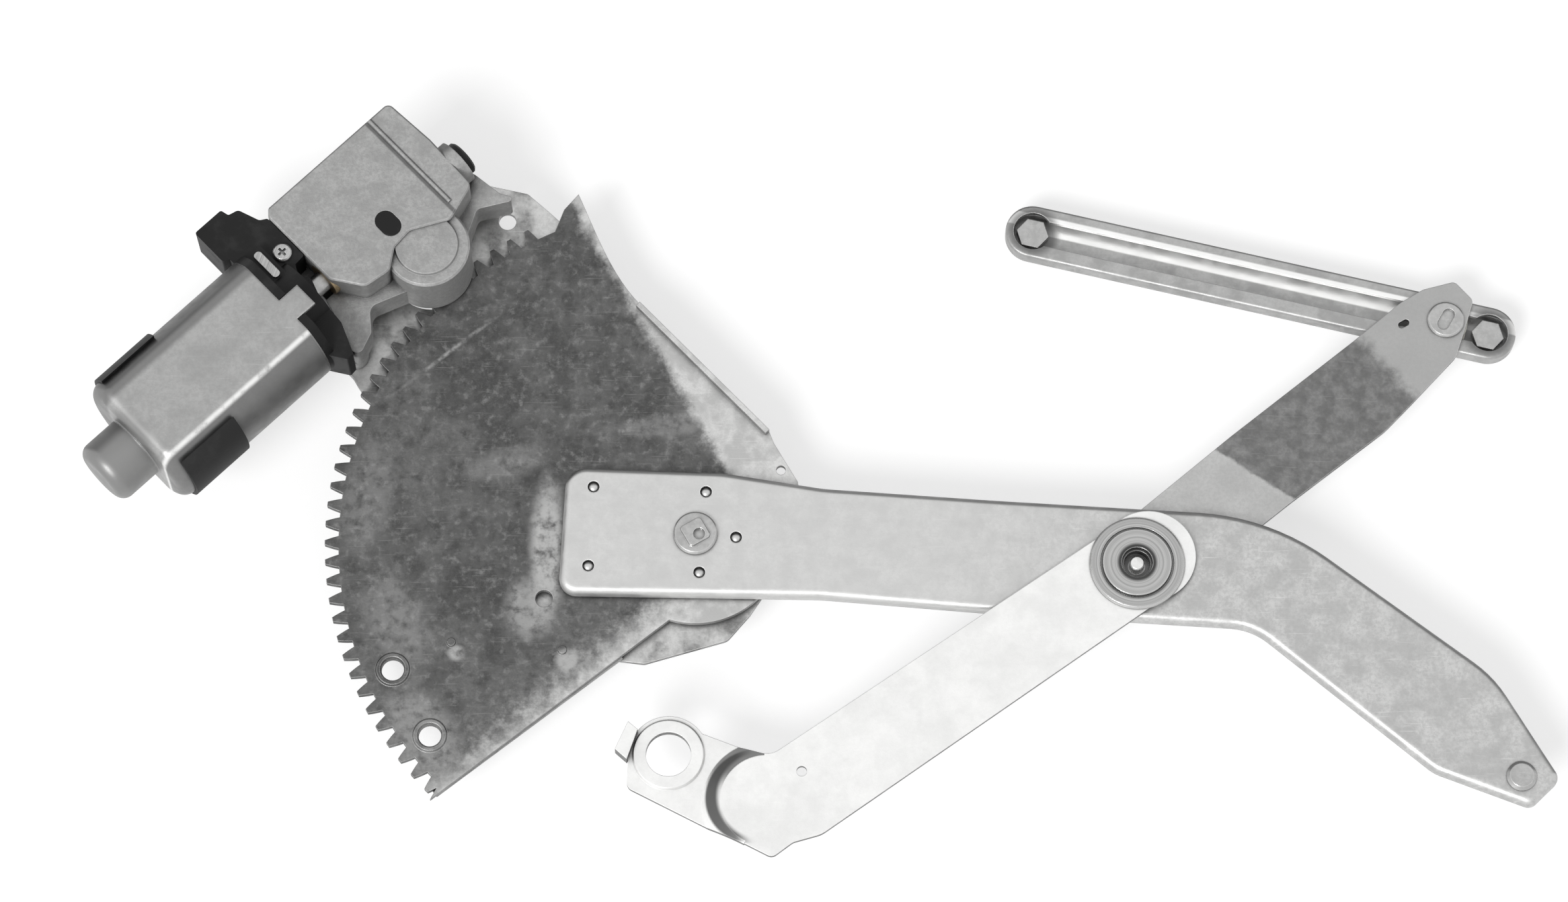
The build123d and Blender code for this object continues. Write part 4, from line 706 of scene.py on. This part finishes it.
def thread(name, centre, radius, top, bottom, body):
    """Winds a rolled thread's crest round a pin whose axis is upright."""
    turns = int((top - bottom) / thread_pitch) - 1
    root = centre.x + radius - thread_sink
    crest = centre.x + radius + thread_crest
    shape = bmesh.new()
    profile = [
        shape.verts.new((root, centre.y, bottom)),
        shape.verts.new((crest, centre.y, bottom + 0.5 * thread_pitch)),
        shape.verts.new((root, centre.y, bottom + thread_pitch)),
    ]
    edges = [shape.edges.new(profile[0:2]), shape.edges.new(profile[1:3])]
    bmesh.ops.spin(
        shape,
        geom=profile + edges,
        cent=(centre.x, centre.y, 0.0),
        axis=(0.0, 0.0, 1.0),
        dvec=(0.0, 0.0, thread_pitch / thread_steps),
        angle=2 * pi * turns,
        steps=thread_steps * turns,
    )
    bmesh.ops.remove_doubles(shape, verts=shape.verts, dist=thread_weld)
    bmesh.ops.holes_fill(shape, edges=shape.edges, sides=3)
    bmesh.ops.recalc_face_normals(shape, faces=shape.faces)
    mesh = bpy.data.meshes.new(name)
    shape.to_mesh(mesh)
    shape.free()
    mesh.materials.append(stud_steel)
    piece = put_in_scene(name, mesh)
    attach(piece, body)


rail_stud_radius = 0.003
rail_stud_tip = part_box("rail_studs")[0].z
thread_top = rail_stud_tip + 0.0072
thread_bottom = rail_stud_tip + 0.0006
for stud_name, stud_place in (("right", rail_right), ("left", rail_left)):
    thread_name = f"rail_thread_{stud_name}"
    thread(thread_name, stud_place, rail_stud_radius, thread_top, thread_bottom, "rail")

natural_nylon, nylon_tree, nylon_shader = new_material("natural_nylon")
nylon_light = (0.66, 0.65, 0.6)
nylon_dark = (0.52, 0.51, 0.47)
nylon_shader.inputs["Roughness"].default_value = 0.45
nylon_shade = effect(nylon_tree, zinc_clouds, Scale=200.0, Low=0.4, High=0.7)
nylon_colour = blended(nylon_tree, nylon_shade, nylon_light, nylon_dark)
nylon_tree.links.new(nylon_colour, nylon_shader.inputs["Base Color"])
dress(["slider_shoe", "worm_wheel", "pivot_spacer"], natural_nylon)

# --- motor ----------------------------------------------------------------------------------------
# A deep-drawn steel can with two flats, plated, in a moulded rubber boot, with a black moulded
# brush housing at its open end. The windings and commutator inside are copper.
armature_joint = next(joint for joint in frame["joints"] if joint["name"] == "armature_spin")
motor_place = Vector(armature_joint["pos_m"])
motor_run = Vector(armature_joint["axis"])

can_zinc, can_tree, can_shader = metal(
    "can_zinc", metallic=0.75, roughness=(0.38, 0.5), grain_depth=0.00002, rounding=0.0015
)
can_colour = plating(
    can_tree, light=0.42, dark=0.34, scale=90.0, low=0.35, high=0.7, spangle=0.4, scuff=0.3
)
# painted shade on the drawn walls beside the flats, and a painted highlight on the near crease between them
near_wall = (-0.03, -0.0178)
far_wall = (0.0135, 0.03)
for wall_low, wall_high in (near_wall, far_wall):
    can_wall_shade = strip(can_tree, motor_place, motor_run, wall_low, wall_high, width=0.0025)
    can_colour = overlaid(can_tree, can_colour, faded(can_tree, can_wall_shade, share=0.8), level=0.17)
can_crease_highlight = strip(can_tree, motor_place, motor_run, low=-0.0184, high=-0.0168, width=0.0014)
crease_breakup = effect(can_tree, zinc_clouds, Scale=160.0, Low=0.2, High=0.55)
can_colour = overlaid(can_tree, can_colour, both(can_tree, can_crease_highlight, crease_breakup), level=0.85)
# its small nose is darker too
nose_along = -0.141
nose_radius = 0.017
nose_place = motor_place + nose_along * motor_run
can_nose = patch(can_tree, nose_place, (nose_radius, nose_radius), soft=0.3)
can_colour = overlaid(can_tree, can_colour, can_nose, level=0.26)
handled(can_tree, can_shader, can_colour, rim=0.8, corner_shading=0.6, radius=0.0012)
dress(["motor_can"], can_zinc)

dust_lift = 0.015  # how much lighter dust makes a black moulding
dust_roughness = 0.15


def moulded(name, level, roughness, grain_scale, grain_depth):
    """Black rubber or plastic of this level, with a fine grain and patches of dust."""
    material, tree, shader = new_material(name)
    shader.inputs["Specular IOR Level"].default_value = 0.25
    dust = effect(tree, zinc_clouds, Scale=120.0, Low=0.45, High=0.75)
    colour = blended(tree, dust, grey(level, 0.0), grey(level + dust_lift, 0.0))
    tree.links.new(colour, shader.inputs["Base Color"])
    dusty = ranged(tree, dust, 0.0, 1.0, roughness, roughness + dust_roughness)
    tree.links.new(dusty, shader.inputs["Roughness"])
    grained(tree, shader, grain_scale, grain_depth)
    return material


boot_rubber = moulded(
    "boot_rubber", level=0.022, roughness=0.6, grain_scale=900.0, grain_depth=0.00005
)
dress(["can_boot"], boot_rubber)

black_moulding = moulded(
    "black_moulding", level=0.006, roughness=0.5, grain_scale=1400.0, grain_depth=0.00003
)
dress(["brush_housing", "worm_bore_plug", "case_vent", "brushes", "magnets"], black_moulding)

copper, copper_tree, copper_shader = metal("copper", metallic=0.9)
copper_bright = (0.6, 0.3, 0.16)
copper_brown = (0.4, 0.18, 0.09)
copper_varnish = effect(copper_tree, zinc_clouds, Scale=400.0, Low=0.4, High=0.6)
copper_colour = blended(copper_tree, copper_varnish, copper_bright, copper_brown)
copper_tree.links.new(copper_colour, copper_shader.inputs["Base Color"])
dress(["armature_windings", "commutator"], copper)
dress(["armature_core", "worm_shaft", "drive_pinion"], stud_steel)

# --- gear case ------------------------------------------------------------------------------------
# Die-cast aluminium with a fine sandy skin. A cast rib runs across the shoulder of the worm
# housing, with a painted shadow along one side of its foot.
case_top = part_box("gear_case")[1].z
motor_left = Vector((-motor_run.y, motor_run.x, 0.0))
rib_along = 0.0177
rib_radius = 0.0011
rib_shadow_reach = 0.0022
rib_shadow_depth = 0.0006

cast_skin, cast_tree, cast_shader = metal(
    "cast_skin", metallic=0.55, roughness=(0.5, 0.62), grain_depth=0.00012
)
cast_colour = plating(
    cast_tree, light=0.42, dark=0.34, scale=160.0, low=0.35, high=0.68, spangle=0.65, scuff=0.05
)
# a painted shadow on the housing's top along one side of the rib's foot
rib_shadow_strip = strip(
    cast_tree,
    motor_place,
    motor_left,
    low=-rib_along + 0.5 * rib_radius,
    high=-rib_along + rib_shadow_reach,
    width=0.0008,
)
rib_shadow_top = between(cast_tree, case_top - rib_shadow_depth, case_top + 0.01)
rib_shadow = faded(cast_tree, both(cast_tree, rib_shadow_strip, rib_shadow_top), share=0.8)
cast_colour = overlaid(cast_tree, cast_colour, rib_shadow, level=0.1)
handled(cast_tree, cast_shader, cast_colour, rim=0.7, corner_shading=0.95, edge=0.7, reach=0.005)
dress(["gear_case", "case_cover"], cast_skin)

# the rib, from the housing's far edge to its near one, as distances to the left of the motor's axis
rib_across = (0.0325, 0.02, 0.006, -0.0125)
rib_sink = 0.0002
rib_line = bpy.data.curves.new("case_rib", "CURVE")
rib_line.dimensions = "3D"
rib_line.bevel_depth = rib_radius
rib_line.bevel_resolution = 3
rib_line.use_fill_caps = True
rib_spline = rib_line.splines.new("NURBS")
rib_spline.points.add(len(rib_across) - 1)
for rib_point, rib_distance in zip(rib_spline.points, rib_across):
    rib_place = motor_place + rib_along * motor_run + rib_distance * motor_left
    rib_point.co = (rib_place.x, rib_place.y, case_top - rib_sink, 1.0)
rib_spline.order_u = 3
rib_spline.use_endpoint_u = True
rib_line.materials.append(cast_skin)
case_rib = put_in_scene("case_rib", rib_line)
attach(case_rib, "base")
